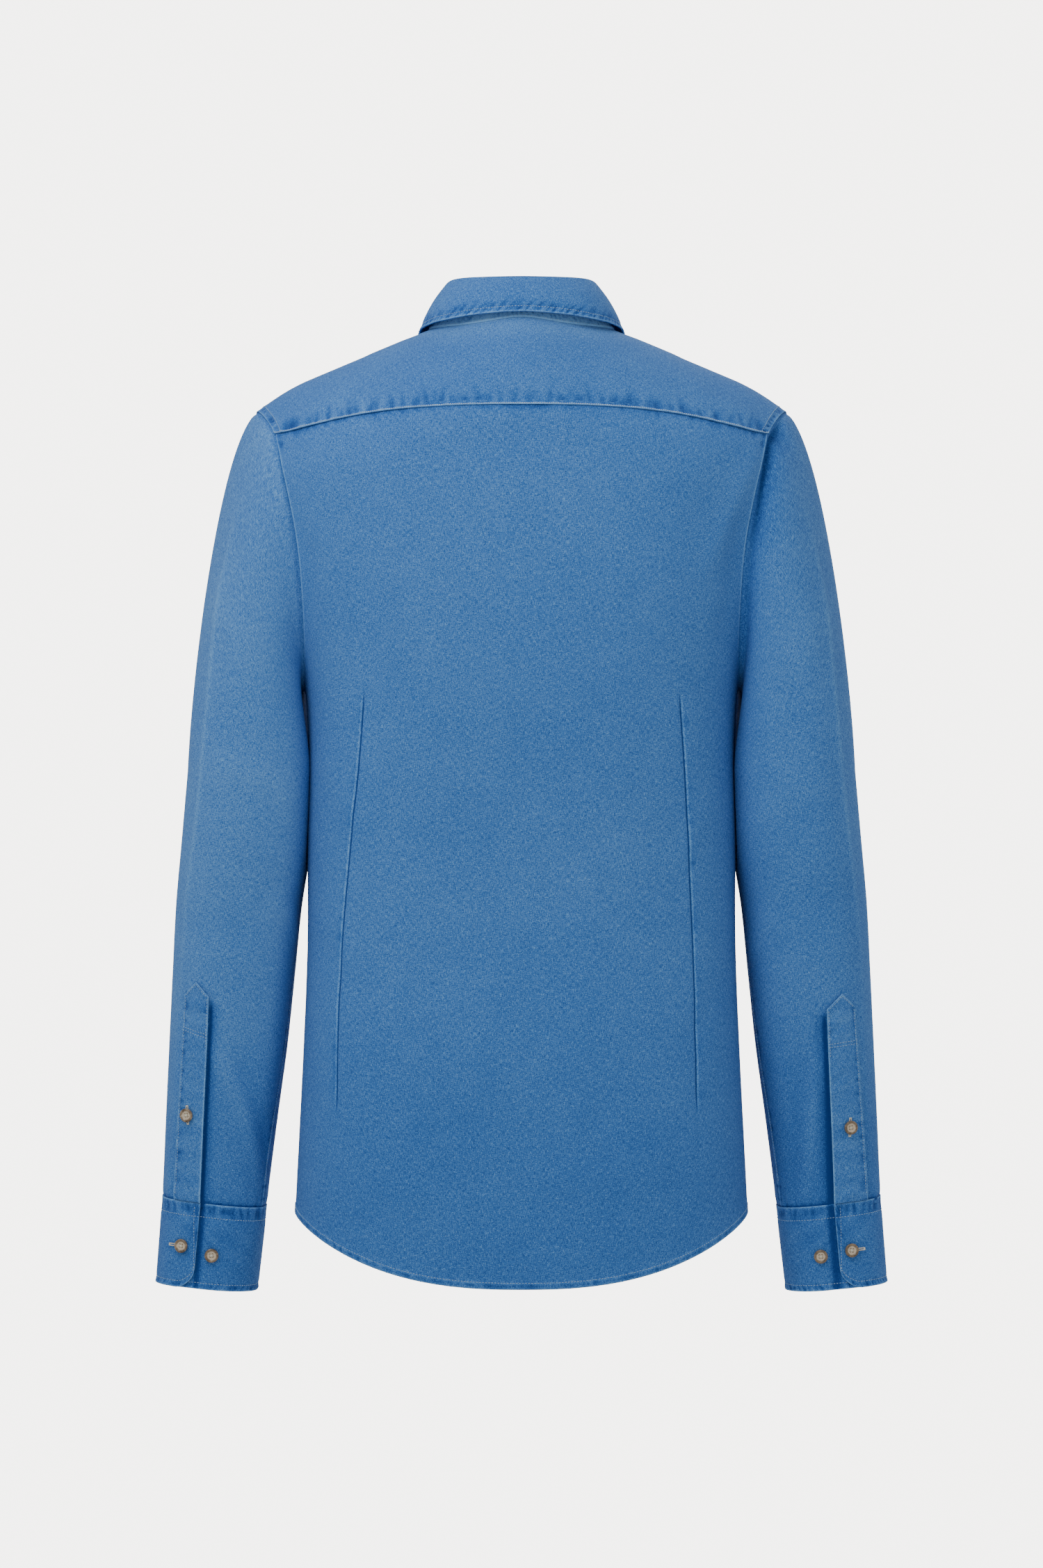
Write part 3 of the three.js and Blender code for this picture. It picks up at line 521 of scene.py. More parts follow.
def stitch_row(path, normal, pitch=THREAD_PITCH, length=THREAD_LENGTH, radius=THREAD_RADIUS):
    """Row of stitches along a path on the cloth."""
    walk = walked(path, 0)
    middles = np.arange(pitch / 2, walk[-1], pitch)
    start, end = (read_at(middles + shift, walk, path) for shift in (-length / 2, length / 2))
    return threads(start, end, unit(read_at(middles, walk, normal)), radius)


def stitching(name, rows, material):
    """One piece made of several rows of stitches."""
    co, faces, count = [], [], 0
    for corners, quads in rows:
        co.append(corners)
        faces.append(quads + count)
        count += len(corners)
    piece = show(name, np.concatenate(co), np.concatenate(faces).tolist(), material=material)


def line_inside(grid, normal, edge, distance, first=0.0, last=1.0):
    """Path on a grid at a distance inside one of its edges, with the normals along it."""
    turned = {
        "top": lambda g: g, "bottom": lambda g: g[::-1],
        "left": lambda g: g.swapaxes(0, 1), "right": lambda g: g.swapaxes(0, 1)[::-1],
    }[edge]
    far = walked(turned(grid), 0)
    columns = range(round(first * (far.shape[1] - 1)), round(last * (far.shape[1] - 1)) + 1)
    return [
        np.array([read_at(distance, far[:, i], part[:, i]) for i in columns])
        for part in (turned(grid), turned(normal))
    ]


def seam_rows(skin, lines, facing=(1, 1, 1), **stitch):
    """Rows of stitches inside a piece's edges: edge, distance, and first and last share of it."""
    return [
        stitch_row(*(part * np.array(facing) for part in line_inside(*skin, *line)), **stitch)
        for line in lines
    ]


edge_heights = steps([-84, -87, -112, -268, -285, -300, -660, -685], [1.5, 1.8, 4.6, 1.7, 3, 4.8, 1.3])
back_columns = both_sides(
    steps(
        [0, 0.42, 0.47, 0.49, 0.51, 0.53, 0.6, 0.95, 1],
        [0.014, 0.01, 0.004, 0.0013, 0.004, 0.01, 0.014, 0.005],
    )
)
share, edge_z = np.meshgrid(back_columns, edge_heights)
x, z = back_place(share + dart_shift(share, edge_z), edge_z)
back_grid = back_point(x, z)
top, bottom, left, right = from_edges(back_grid)
side = np.minimum(left, right)
under_yoke = top - walked(back_grid, 0)[2:3]
dart_x = np.where(x < 0, -left_dart(z), right_dart(z))
off_dart = (np.abs(x) - np.abs(dart_x)) / np.maximum(0.3, ring_share(x, z))
in_dart = smooth((DART_TOP + 4 - z) / 22) * smooth((z - DART_END + 4) / 22)
dart_blots = blots_by_side(
    x, z, np.maximum(off_dart, 0) - 1.5, 6.4, 13, 1.7, np.where(x < 0, 3.6, 3.8)
) * (off_dart > -0.3) * in_dart
hem_blots = blots(x, bottom - 2.6, 5.6, 15, 1.5, 2.2)
side_blots = blots_by_side(x, z, side - 3, 8, 16, 2.2, 4) * (edge_z < UNDERARM_Z)
side_blots = side_blots * mix(0.3, 1, smooth((-470 - z) / 70))
yoke_blots = blots(x, under_yoke - 1.5, 8.5, 18, 1.9, 3.2)
corner_blots = blots(z, side - 3, 4.4, 19, 1.3, 2.6) * smooth((z + 106) / 9)
armhole_line = ridge(side, 1.0) * (edge_z > UNDERARM_Z)
back_height = (
    -0.6 * ridge(under_yoke - 0.2, 1.8)
    - 1.0 * np.clip(1 - np.abs(off_dart) / 5, 0, 1) ** 2 * in_dart
    - 0.35 * ridge(off_dart, 0.7) * in_dart
    - 0.5 * dart_blots - 0.7 * side_blots - 0.7 * corner_blots - 0.35 * yoke_blots
    + hem_roll(bottom) - 0.42 * hem_blots
    + 0.3 * ridge(side, 2.5)
)
# Colour of the back: pale rubbed edges and dark puckers, with painted shade as the dark line in each
# dart's fold next to a painted highlight, as a painted shadow under the yoke's edge, and as darker cloth
# towards the hem.
back_wear_and_painted_light = (
    -1.7 * ridge(off_dart, 0.55) * in_dart + 0.6 * ridge(off_dart - 1.6, 0.8) * in_dart
    - 0.50 * dart_blots - 0.7 * side_blots - 0.9 * corner_blots - 0.55 * yoke_blots
    + 0.8 * ridge(bottom, 1.1) - 0.7 * hem_blots + 0.3 * ridge(bottom - 4.6, 0.9)
    + 0.9 * armhole_line - 0.4 * ridge(under_yoke - 0.9, 1.0) - 0.16 * smooth((-430 - z) / 260)
)
# Soft folds: start, end (x, z), width and height. A drag line falls from each end of the yoke,
# and the cloth pulls a little towards the darts and the small of the back.
BACK_FOLDS = [
    (183, -98, 139, -200, 8, 1.8), (-180, -104, -150, -180, 9, 1.1),
    (168, -150, 152, -262, 8, -1.3), (-166, -125, -156, -240, 7, -1.0),
    (160, -104, 126, -170, 12, -0.8), (-40, -96, 90, -104, 9, -0.4),
    (60, -330, 52, -560, 26, 0.9), (-30, -300, -42, -540, 30, -0.9),
    (-95, -420, -60, -600, 22, 0.8), (100, -560, 40, -650, 22, -0.9),
    (-150, -330, -120, -395, 10, 0.8), (152, -360, 118, -420, 10, 0.8),
    (-158, -470, -120, -520, 9, -0.8), (158, -500, 126, -560, 9, -0.8),
    (-110, -650, -30, -690, 18, 0.8), (20, -650, 120, -640, 16, 0.7),
]
back_height = back_height + folds(x, z, BACK_FOLDS)
back, back_skin = cloth("back_cloth", back_grid, back_height, back_wear_and_painted_light, denim("back", 1))
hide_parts("back")
sewing = thread("sewing thread of the body", 1)
stitching("back_hem_stitches", seam_rows(back_skin, [("bottom", HEM_ROW)]), sewing)

# Yoke: one piece of denim over both shoulders, from the seam across the back to the neck and to
# the front shoulder seams. Its lower edge is folded under and topstitched on the back, close to
# the edge, and the allowance inside makes a row of short upright puckers above the seam.
NECK_SHARE, NECK_SIDE, NECK_BACK, NECK_FRONT, SHOULDER_TURN = 0.42, 72, 66, 62, -20
TIP_X, TIP_Y, TIP_BULGE = 203, 20, 9
YOKE_NECK_ROW, YOKE_ARM_ROW, YOKE_SEAM_ROW = 1.8, 8, 0.9


def shoulder_point(x, turn):
    """Point over the shoulder: turn runs from the shoulder line, towards the back if positive."""
    angle = np.radians(np.abs(turn))
    backward = turn > 0
    z = crest(x) - np.where(backward, BACK_ROUND, FRONT_ROUND) * (1 - np.cos(angle))
    depth = np.where(backward, back_depth(z), front_depth(z)) * ring_share(x, z) * np.sin(angle)
    return points(x, np.where(backward, -depth, depth), z)


def turn_at(x, y):
    """Turn at which the shoulder has depth y at x, found by halving."""
    way = np.where(y < 0, 1, -1)
    low, high = np.zeros(np.shape(x)), np.full(np.shape(x), 90.0)
    for _ in range(30):
        turn = (low + high) / 2
        inside = np.abs(shoulder_point(x, way * turn)[..., 1]) < np.abs(y)
        low, high = np.where(inside, turn, low), np.where(inside, high, turn)
    return way * low


def neck_place(turn):
    angle = np.radians(turn)
    depth = np.where(np.asarray(turn) > 0, NECK_BACK, NECK_FRONT)
    return NECK_SIDE * np.cos(angle), -depth * np.sin(angle)


def shoulder_seam_place(share):
    t = (share - NECK_SHARE) / (1 - NECK_SHARE)
    x, y = neck_place(SHOULDER_TURN)
    return mix(x, TIP_X, t), mix(y, TIP_Y, t)


yoke_columns = both_sides(steps([0, 0.9, 1], [0.0065, 0.0045]))
share, up = np.meshgrid(yoke_columns, steps([1, 0.96, 0.17, 0], [0.011, 0.024, 0.0085]))
out = np.abs(share)
seam_x, seam_z = back_place(out, np.float64(SEAM_END_Z))
neck_x, neck_y = neck_place(mix(90, SHOULDER_TURN, np.minimum(out / NECK_SHARE, 1)))
tip_x, tip_y = shoulder_seam_place(np.maximum(out, NECK_SHARE))
top_x, top_y = np.where(out < NECK_SHARE, neck_x, tip_x), np.where(out < NECK_SHARE, neck_y, tip_y)
x = mix(seam_x, top_x, up) + TIP_BULGE * out**6 * np.sin(math.pi * up)
seam_turn = np.degrees(np.arccos(1 - (crest(seam_x) - seam_z) / BACK_ROUND))
yoke_grid = shoulder_point(x, mix(seam_turn, turn_at(top_x, top_y), up))
yoke_grid[..., 0] *= np.sign(share) + (share == 0)
top, bottom, left, right = from_edges(yoke_grid)
side = np.minimum(left, right)
x = yoke_grid[..., 0]
lifted = smooth(bottom / 1.6)
yoke_blots = blots(x, bottom - 3.5, 7.4, 23, 2.1, 7.2) * lifted
arm_blots = blots_by_side(x, bottom, side - 4.2, 5.2, 26, 1.5, 3.2) * smooth((9 - side) / 2)
yoke_height = (
    0.6 * ridge(bottom, 4.5) - 1.0 * yoke_blots
    + 0.5 * ridge(side, 3) + 0.35 * ridge(side - 7, 3) - 1.0 * arm_blots
    + 0.25 * ridge(top, 3)
)
# Colour of the yoke: pale rubbed edges and dark puckers, and painted light along the back of the neck
# edge, where the collar's shadow falls.
yoke_wear_and_painted_light = (
    1.0 * ridge(bottom, 1.0) - 0.8 * yoke_blots - 0.06 * ridge(bottom - 4, 5)
    + 0.25 * blots(x, bottom - 6, 9.0, 28, 1.8, 8.0) * lifted
    + 0.8 * ridge(side, 1.0) - 1.2 * arm_blots + 0.25 * ridge(side - 4, 3)
    + 0.6 * ridge(top, 1.1) + 0.24 * ridge(top - 6, 15) * smooth((10 - yoke_grid[..., 1]) / 30)
)
YOKE_FOLDS = [
    (190, -84, 150, -62, 7, 1.1), (-190, -84, -152, -66, 7, 1.1),
    (172, -92, 120, -42, 9, 0.8), (-174, -92, -128, -46, 9, 0.8),
    (150, -76, 60, -58, 11, 0.7), (-150, -78, -70, -60, 12, 0.7),
    (120, -30, 80, -8, 9, 0.6), (-118, -28, -84, -12, 9, 0.5),
    (30, -30, 96, -22, 10, -0.5), (-40, -34, -100, -30, 10, -0.5),
]
crease = folds(x, yoke_grid[..., 2], YOKE_FOLDS) * (yoke_grid[..., 1] < 10)
# The yoke's colour also follows its folds a little: painted light on their ridges and painted shade in
# their troughs.
yoke, yoke_skin = cloth(
    "yoke_cloth", yoke_grid, yoke_height + crease, yoke_wear_and_painted_light + 0.06 * crease,
    denim("yoke", 2, -0.03),
)
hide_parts("yoke")
yoke_lines = [
    ("top", YOKE_NECK_ROW, 0, 0.28), ("top", YOKE_NECK_ROW, 0.72, 1),
    ("left", YOKE_ARM_ROW), ("right", YOKE_ARM_ROW),
]
stitching("yoke_stitches", seam_rows(yoke_skin, yoke_lines), sewing)
stitching(
    "yoke_seam_stitches",
    seam_rows(yoke_skin, [("bottom", YOKE_SEAM_ROW)], pitch=1.7, length=1.35, radius=0.36),
    thread("pale thread of the yoke seam", 22, (0.30, 0.48, 0.70, 1), (0.80, 0.90, 1.0, 1)),
)

# Fronts: two panels of the same denim from the shoulder seams to the hem. The left one laps over
# the right one at the middle. Only their backs' side seams show in the photo, so they are plain.
FRONT_OVERLAP, PAST_SHARE, FRONT_TURN = 15, 0.1, -57.6
LAP_SET_BACK = 2.3


def front_point(x, z):
    depth = front_depth(z) * ring_share(x, z) * round_share(crest(x) - z, FRONT_ROUND)
    return points(x, depth, z)


def past_middle(share):
    return FRONT_OVERLAP * smooth(1 - share / PAST_SHARE)


def front_neck_turn(share):
    t = (share - PAST_SHARE) / (NECK_SHARE - PAST_SHARE)
    x = ring_x(panel_angle(share, SIDE_HEM_Z, 0), -400) - past_middle(share)
    near = -np.degrees(np.arccos(np.clip(x / NECK_SIDE, -1, 1)))
    return np.where(share >= PAST_SHARE, mix(FRONT_TURN, SHOULDER_TURN, t), near)


def neck_seam(turn):
    x, y = neck_place(turn)
    seam = shoulder_point(np.abs(x), turn_at(np.abs(x), y))
    seam[..., 0] = x
    return seam


def under_lap(x):
    return smooth((2 * FRONT_OVERLAP - x) / 12)


front_columns = steps([1, 0.95, 0.1, 0.06, 0], [0.006, 0.015, 0.008, 0.005])
front_heights = steps([-87, -100, -268, -285, -300, -660, -685], [1.8, 4.8, 1.7, 3, 5.2, 1.4])
share, edge_z = np.meshgrid(front_columns, front_heights)
seam_x, seam_y = shoulder_seam_place(np.maximum(share, NECK_SHARE))
shoulder_seam = shoulder_point(seam_x, turn_at(seam_x, seam_y))
neck_edge = neck_seam(front_neck_turn(np.minimum(share, NECK_SHARE)))
front_top = np.where((share <= NECK_SHARE)[..., None], neck_edge, shoulder_seam)
down = (SEAM_END_Z - edge_z) / (SEAM_END_Z - SIDE_HEM_Z)
level = smooth((SEAM_END_Z - edge_z) / (SEAM_END_Z - UNDERARM_Z))
lift = mix(1, np.cos(math.pi / 2 * share) ** 1.9, level)
z = mix(edge_z, mix(front_top[..., 2], SIDE_HEM_Z - FRONT_TAIL, down), lift)
ringed = ring_x(panel_angle(share, edge_z, FRONT_ARMHOLE_DEPTH), z) - past_middle(share)
front_grid = front_point(mix(front_top[..., 0], ringed, smooth(down / 0.22)), z)
top, bottom, left, right = from_edges(front_grid)
x = front_grid[..., 0]
hem_blots = blots(x, bottom - 2.6, 5.6, 31, 1.5, 2.2)
side_blots = blots(z, left - 3, 8, 32, 2.2, 4) * (edge_z < UNDERARM_Z)
front_height = (
    -0.5 * ridge(top, 3) * (share > NECK_SHARE) + hem_roll(bottom)
    - 0.26 * hem_blots + 0.3 * ridge(left, 2.5) - 0.3 * side_blots
)
front_worn = (
    0.8 * ridge(bottom, 1.1) - 0.7 * hem_blots + 0.6 * ridge(left, 1.1) - 0.6 * side_blots
)
FRONT_FOLDS = [
    (158, -120, 140, -240, 10, 1.4), (120, -150, 60, -300, 26, 1.0),
    (150, -330, 70, -400, 14, 0.9), (30, -300, 45, -520, 24, -0.9),
    (95, -420, 80, -640, 26, 1.0), (150, -480, 90, -540, 12, -0.8),
    (40, -600, 110, -660, 18, 0.8),
]
front_height = front_height + folds(x, z, FRONT_FOLDS) * smooth((x - 22) / 15)
front_denim = denim("fronts", 3)
right_grid = front_grid.copy()
right_grid[..., 1] -= LAP_SET_BACK * under_lap(x)
cut = (front_height, front_worn, front_denim)
right_front, right_skin = cloth("front_right_cloth", right_grid, *cut)
left_front, _ = cloth("front_left_cloth", front_grid, *cut, mirror=True)
for piece, node in ((right_front, "front_right"), (left_front, "front_left")):
    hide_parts(node)
hem_rows = [seam_rows(right_skin, [("bottom", HEM_ROW)], (way, 1, 1))[0] for way in (1, -1)]
stitching("front_hem_stitches", hem_rows, sewing)

# Front placket: a plain folded band on the left front from the neck to the hem, topstitched along
# both edges, with seven upright slits that are worked round with thread and hold the buttons.
PLACKET_THICK, PLACKET_ROW, PLACKET_LIFT = 1.1, 4, 0.2 + CLOTH + 0.5
band_share, edge_z = np.meshgrid(steps([0.055, 0.047, 0.006, 0], [0.002, 0.0045, 0.002]), front_heights)
column = np.interp(band_share, front_columns[::-1], np.arange(len(front_columns))[::-1])
low = np.clip(np.floor(column).astype(int), 0, len(front_columns) - 2)
row = np.arange(len(front_heights))[:, None]
part = (column - low)[..., None]
base = front_grid[row, low] * (1 - part) + front_grid[row, low + 1] * part
band_grid = base + normals_of(front_grid)[row, low] * PLACKET_LIFT
top, bottom, left, right = from_edges(band_grid)
side = np.minimum(left, right)
edge_blots = blots(band_grid[..., 2], side - 2, 5.5, 41, 1.4, 2.0)
band_height = 0.3 * ridge(side, 3) - 0.25 * edge_blots
band_worn = 0.8 * ridge(side, 1) - 0.6 * edge_blots + 0.6 * ridge(bottom, 1)
placket, placket_skin = cloth(
    "front_placket_cloth", band_grid, band_height, band_worn,
    denim("placket", 4), thickness=PLACKET_THICK, mirror=True,
)
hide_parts("front_placket")
placket_rows = seam_rows(placket_skin, [("left", PLACKET_ROW), ("right", PLACKET_ROW)], (-1, 1, 1))
stitching("front_placket_stitches", placket_rows, sewing)

# Collar stand: a band round the neck, two plies with an interlining, whose left end laps over the
# right one and is buttoned. It is sewn on the neck edge and topstitched all round.
STAND_SIDE, STAND_BACK, STAND_FRONT, STAND_LAP = 58, 56, 58, 2.2
STAND_THICK, STAND_ROW = 1.5, 1.6


def stand_top(turn):
    angle = np.radians(turn)
    rise = np.sin(angle)
    z = np.where(rise < 0, mix(26, -34, np.abs(rise) ** 1.5), mix(26, 28.5, np.maximum(0, rise)))
    z = z + np.where(rise > 0, 5 * np.sin(2 * angle) * (1 - rise), 0)
    z = np.where(turn < -90, -34 - 0.4 * (-90 - turn), z)
    return points(STAND_SIDE * np.cos(angle), -np.where(rise > 0, STAND_BACK, STAND_FRONT) * rise, z)


def round_neck(half, side_of):
    """Joins the left and right half of a band round the neck; the right one's end runs under."""
    left_half = half * (-1, 1, 1)
    right_half = half.copy()
    right_half[..., 1] -= STAND_LAP * under_lap(half[..., 0]) * (side_of < 0)
    return np.concatenate([left_half, right_half[:, -2::-1]], 1)


stand_turns = steps([float(front_neck_turn(0.0)), -60, 90], [0.9, 0.8])
turn, up = np.meshgrid(stand_turns, steps([1, 0], [0.07]))
half = mix(neck_seam(turn) + points(0, 0, 0.4), stand_top(turn), up[..., None])
stand_grid = round_neck(half, turn)
top, bottom, left, right = from_edges(stand_grid)
rim = np.minimum.reduce([left, right, bottom])
stand_blots = blots(left, bottom - 4.5, 4.8, 51, 1.2, 5.0)
stand_height = 0.4 * ridge(rim, 2.0) - 0.4 * stand_blots
# Painted light: the stand is paler towards the back, where the collar's leaf shades it; its pale rim and
# dark puckers are wear.
stand_wear_and_painted_light = 1.15 * smooth((-2 - stand_grid[..., 1]) / 25) + 0.4 * ridge(rim, 0.9) - 1.2 * stand_blots
stand, stand_skin = cloth(
    "collar_stand_cloth", stand_grid, stand_height, stand_wear_and_painted_light,
    denim("collar stand", 5), thickness=STAND_THICK,
)
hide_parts("collar_stand")
stitching("collar_stand_stitches", seam_rows(stand_skin, [("bottom", STAND_ROW)]), sewing)

# Collar: a two-ply leaf with an interlining, sewn in the top of the stand. It rises a little, rolls
# over and falls to a topstitched outer edge, which is longest at the two plain front points.
COLLAR_THICK, COLLAR_ROW = 1.4, 4.4
# Share from the middle of the back to the point: x and turn on the figure, and lift above it.
COLLAR_EDGE = [
    (-0.2, -42, 31.2, 9.2), (0, 0, 38.4, 7.2), (0.2, 42, 31.2, 9.2), (0.35, 62.2, 22, 7.2),
    (0.5, 75, 8, 3.9), (0.62, 79.5, -14, 4.1), (0.75, 79.5, -36, 4.4), (0.88, 70, -54, 5),
    (1, 56, -68, 5.2),
]
edge_x, edge_turn, edge_lift = (through(COLLAR_EDGE, key) for key in (1, 2, 3))


def shoulder_normal(x, turn):
    across = shoulder_point(x + 1, turn) - shoulder_point(x - 1, turn)
    along = shoulder_point(x, turn + 1) - shoulder_point(x, turn - 1)
    normal = unit(np.cross(across, along))
    outward = (normal * points(x, shoulder_point(x, turn)[..., 1], 60)).sum(-1, keepdims=True)
    return np.where(outward < 0, -normal, normal)


def through_places(places, at):
    """Points on a smooth curve through a list of places, one every whole number."""
    rows = [through([(k, *p) for k, p in enumerate(places)], key) for key in (1, 2, 3)]
    return np.stack([read(at) for read in rows], -1)


collar_turns = steps([float(front_neck_turn(0.035)), -60, 90], [0.8, 0.75])
profile_at = steps([0, 1, 3, 5, 6], [0.25, 0.2, 0.14, 0.05])
leaf = []
for turn in collar_turns:
    out = np.array((math.cos(math.radians(turn)), -math.sin(math.radians(turn)), 0))
    seam = stand_top(turn) - out * 0.9
    share = (90 - turn) / (90 - collar_turns[0])
    x, edge_at = edge_x(share), edge_turn(share)
    edge = shoulder_point(x, edge_at) + shoulder_normal(x, edge_at) * edge_lift(share)
    lifted = [(-0.8, 0.45), (-0.8, 2.5), (1, 4.6), (3.4, 2.8)]
    places = [seam + out * away + (0, 0, rise) for away, rise in lifted]
    swell = out * 2.5 + (0, 0, 1)
    places += [mix(places[3], edge, t) + swell * math.sin(math.pi * t) for t in (0.35, 0.7)]
    leaf.append(through_places([*places, edge], profile_at))
half = np.stack(leaf, 1)
collar_grid = round_neck(half, np.broadcast_to(collar_turns, half.shape[:2]))
top, bottom, left, right = from_edges(collar_grid)
rim = np.minimum.reduce([left, right, bottom])
rib_blots = blots(left, rim - 2.3, 4.6, 61, 1.25, 2.6)
leaf_blots = blots(left, rim - 6.2, 5.6, 62, 1.5, 3.4)
collar_height = (
    0.35 * ridge(rim, 2.0) - 0.75 * rib_blots - 0.4 * leaf_blots
    - 0.35 * ridge(rim - COLLAR_ROW, 0.8)
)
collar_worn = (
    0.8 * ridge(rim, 0.9) + 0.15 * ridge(rim - 2.2, 2) - 1.15 * rib_blots - 0.65 * leaf_blots
)
collar, collar_skin = cloth(
    "collar_cloth", collar_grid, collar_height, collar_worn,
    denim("collar", 6), thickness=COLLAR_THICK,
)
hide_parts("collar")
collar_lines = [
    ("bottom", COLLAR_ROW, 0.012, 0.988),
    ("left", COLLAR_ROW, 0.35, 0.94), ("right", COLLAR_ROW, 0.35, 0.94),
]
stitching("collar_stitches", seam_rows(collar_skin, collar_lines), sewing)

# Sleeves: each is one tapered tube, set in the armhole under the body's folded edge, felled along
# its inner line, pressed with a soft crease along its outer part and gathered in the cuff.
# Height, outer and inner side, back and front of the arm, and the tilt of its rings.
SLEEVE = [
    (-345, 259, 160, -66, 78, 0), (-400, 264, 163.5, -60, 76.5, 0.01),
    (-448, 268.5, 171.2, -51, 74.5, 0.03), (-502, 271.5, 176.9, -43, 72, 0.05),
    (-556, 274.3, 182.8, -35, 69, 0.07), (-610, 277, 190.3, -27, 66, 0.085),
    (-664, 279.6, 197.4, -19, 64, 0.1), (-680, 280.6, 199, -17.5, 63.5, 0.105),
    (-748, 286, 206.5, -15, 65, 0.085),
]
arm_outer, arm_inner, arm_back, arm_front, arm_tilt = (through(SLEEVE, k) for k in (1, 2, 3, 4, 5))
BICEPS_Z, CUFF_SEAM_Z, CUFF_HEM_Z = -345, -680, -746
ARM_POWER, BODY_GAP, HOLE_GAP, HOLE_TUCK, CUFF_TUCK = 2.5, 1.2, 0.45, 1.8, 4
DEGREE = 0.8  # Millimetres round the arm for each degree of turn.


def body_side(y, z):
    """Half width of the body at a depth y."""
    share = np.minimum(1, np.abs(y) / np.where(y < 0, back_depth(z), front_depth(z)))
    return half_width(z) * (1 - share**RING_POWER) ** (1 / RING_POWER)


def sleeve_ring(z, turn):
    """Point on the arm, which is pressed flat by the body: turn runs from its outside to the back."""
    angle = np.radians(turn)
    bend = 2 / ARM_POWER
    middle_x, middle_y = (arm_outer(z) + arm_inner(z)) / 2, (arm_back(z) + arm_front(z)) / 2
    cosine, sine = np.cos(angle), np.sin(angle)
    y = middle_y - (arm_front(z) - arm_back(z)) / 2 * np.sign(sine) * np.abs(sine) ** bend
    free = middle_x + (arm_outer(z) - arm_inner(z)) / 2 * np.sign(cosine) * np.abs(cosine) ** bend
    x = np.maximum(free, body_side(y, z) + BODY_GAP)
    return points(x, y, z + arm_tilt(z) * (x - middle_x))


def arm_normal(z, turn):
    round_arm = sleeve_ring(z, turn + 1) - sleeve_ring(z, turn - 1)
    along = sleeve_ring(z + 1, turn) - sleeve_ring(z - 1, turn)
    return -unit(np.cross(round_arm, along))


def inner_seam(z):
    """Turn at which the sleeve's seam runs along its inner side."""
    return mix(179, 158, smooth((-420 - z) / 250))


# The armhole's edge, from the underarm up the back, over the shoulder and down the front.
smooth_back, smooth_front, smooth_yoke = (
    normals_of(back_grid), normals_of(front_grid), normals_of(yoke_grid)
)
back_rows = np.flatnonzero((edge_heights <= SEAM_END_Z) & (edge_heights >= UNDERARM_Z))[::-1]
front_rows = np.flatnonzero(front_heights >= UNDERARM_Z)
loop = np.concatenate([back_grid[back_rows, -1], yoke_grid[-2:0:-1, -1], front_grid[front_rows[:-1], 0]])
loop_up = np.concatenate(
    [smooth_back[back_rows, -1], smooth_yoke[-2:0:-1, -1], smooth_front[front_rows[:-1], 0]]
)
loop, loop_up = np.concatenate([loop, loop[:1]]), np.concatenate([loop_up, loop_up[:1]])
walk = walked(loop, 0)
around = steps([0, 0.23, 0.37, 1], [0.0056, 0.0023, 0.006])
hole, hole_up = (read_at(around * walk[-1], walk, part) for part in (loop, loop_up))
hole_up = unit(hole_up)
turns = 180 - 360 * around
tangent = np.roll(hole[:-1], -1, 0) - np.roll(hole[:-1], 1, 0)
tangent = np.concatenate([tangent, tangent[:1]])
outward = unit(np.cross(tangent, hole_up))
start = hole + outward * HOLE_GAP
end = sleeve_ring(BICEPS_Z, turns)
reach = np.linalg.norm(start - end, axis=-1, keepdims=True)
# The sleeve leaves the armhole outward, and downward most over the shoulder, and comes to the arm
# along it.
over = ((1 + np.cos(np.radians(turns))) / 2)[:, None]
leave = points(0.85 - 0.1 * over[:, 0], -0.25 * np.sin(np.radians(turns)), 0.12 - 0.75 * over[:, 0])
leave = unit(leave + outward * 0.25 + hole_up * 0.6 * (1 - over)) * reach * 0.36
arrive = unit(sleeve_ring(BICEPS_Z - 1, turns) - sleeve_ring(BICEPS_Z + 1, turns))
arrive = arrive * reach * mix(0.9, 1.1, over)
v = (steps([0, 0.12, 1], [0.02, 0.032]) ** 1.15)[:, None, None]
cap = bridge(start, leave, end, arrive, v)
arm_heights = steps([BICEPS_Z, -660, CUFF_SEAM_Z - CUFF_TUCK], [4.6, 2])[1:, None]
tucked = (hole - outward * HOLE_TUCK)[None]
sleeve_grid = np.concatenate([tucked, cap, sleeve_ring(arm_heights, turns)])
turn = np.broadcast_to(turns, sleeve_grid.shape[:2])
z = sleeve_grid[..., 2]
down = walked(sleeve_grid, 0)
from_hole, from_cuff = down - down[1:2], down[-1:] - down - CUFF_TUCK
across = turn * DEGREE
off_seam = np.abs(across - inner_seam(z) * DEGREE)
seam_blots = blots(z, off_seam - 2.6, 6, 71, 1.7, 2.6)
cuff_gathers = blots(across, from_cuff - 2, 9, 72, 2.2, 9)
crease_turn = mix(mix(33, 50, smooth((-130 - z) / 190)), 41, smooth((-320 - z) / 180))
in_crease = smooth((-110 - z) / 90) * smooth((z + 580) / 200)
sleeve_height = (
    -0.9 * ridge(from_hole, 3.5) - 1.4 * ridge(from_cuff + 3, 4.5)
    + 0.35 * ridge(off_seam, 3) - 0.9 * seam_blots
    + 0.9 * ridge(across - crease_turn * DEGREE, 5) * in_crease
    - 0.8 * cuff_gathers - 0.3 * blots(across, from_hole - 2, 6.5, 73, 1.6, 4)
)
# Colour of the sleeves: a pale pressed crease and a pale felled seam with dark puckers, and painted shade
# as dark lines where the sleeve goes under the body's edge and under the cuff, in the gathers above the
# cuff and as darker cloth towards the cuff.
sleeve_wear_and_painted_shade = (
    0.22 * ridge(across - crease_turn * DEGREE, 2.2) * in_crease
    + 0.9 * ridge(off_seam, 1.3) - 1.0 * seam_blots
    - 0.25 * cuff_gathers - 0.3 * ridge(from_hole, 1.6) - 1.2 * ridge(from_cuff, 1.6)
    - 0.19 * smooth((-520 - z) / 130)
)
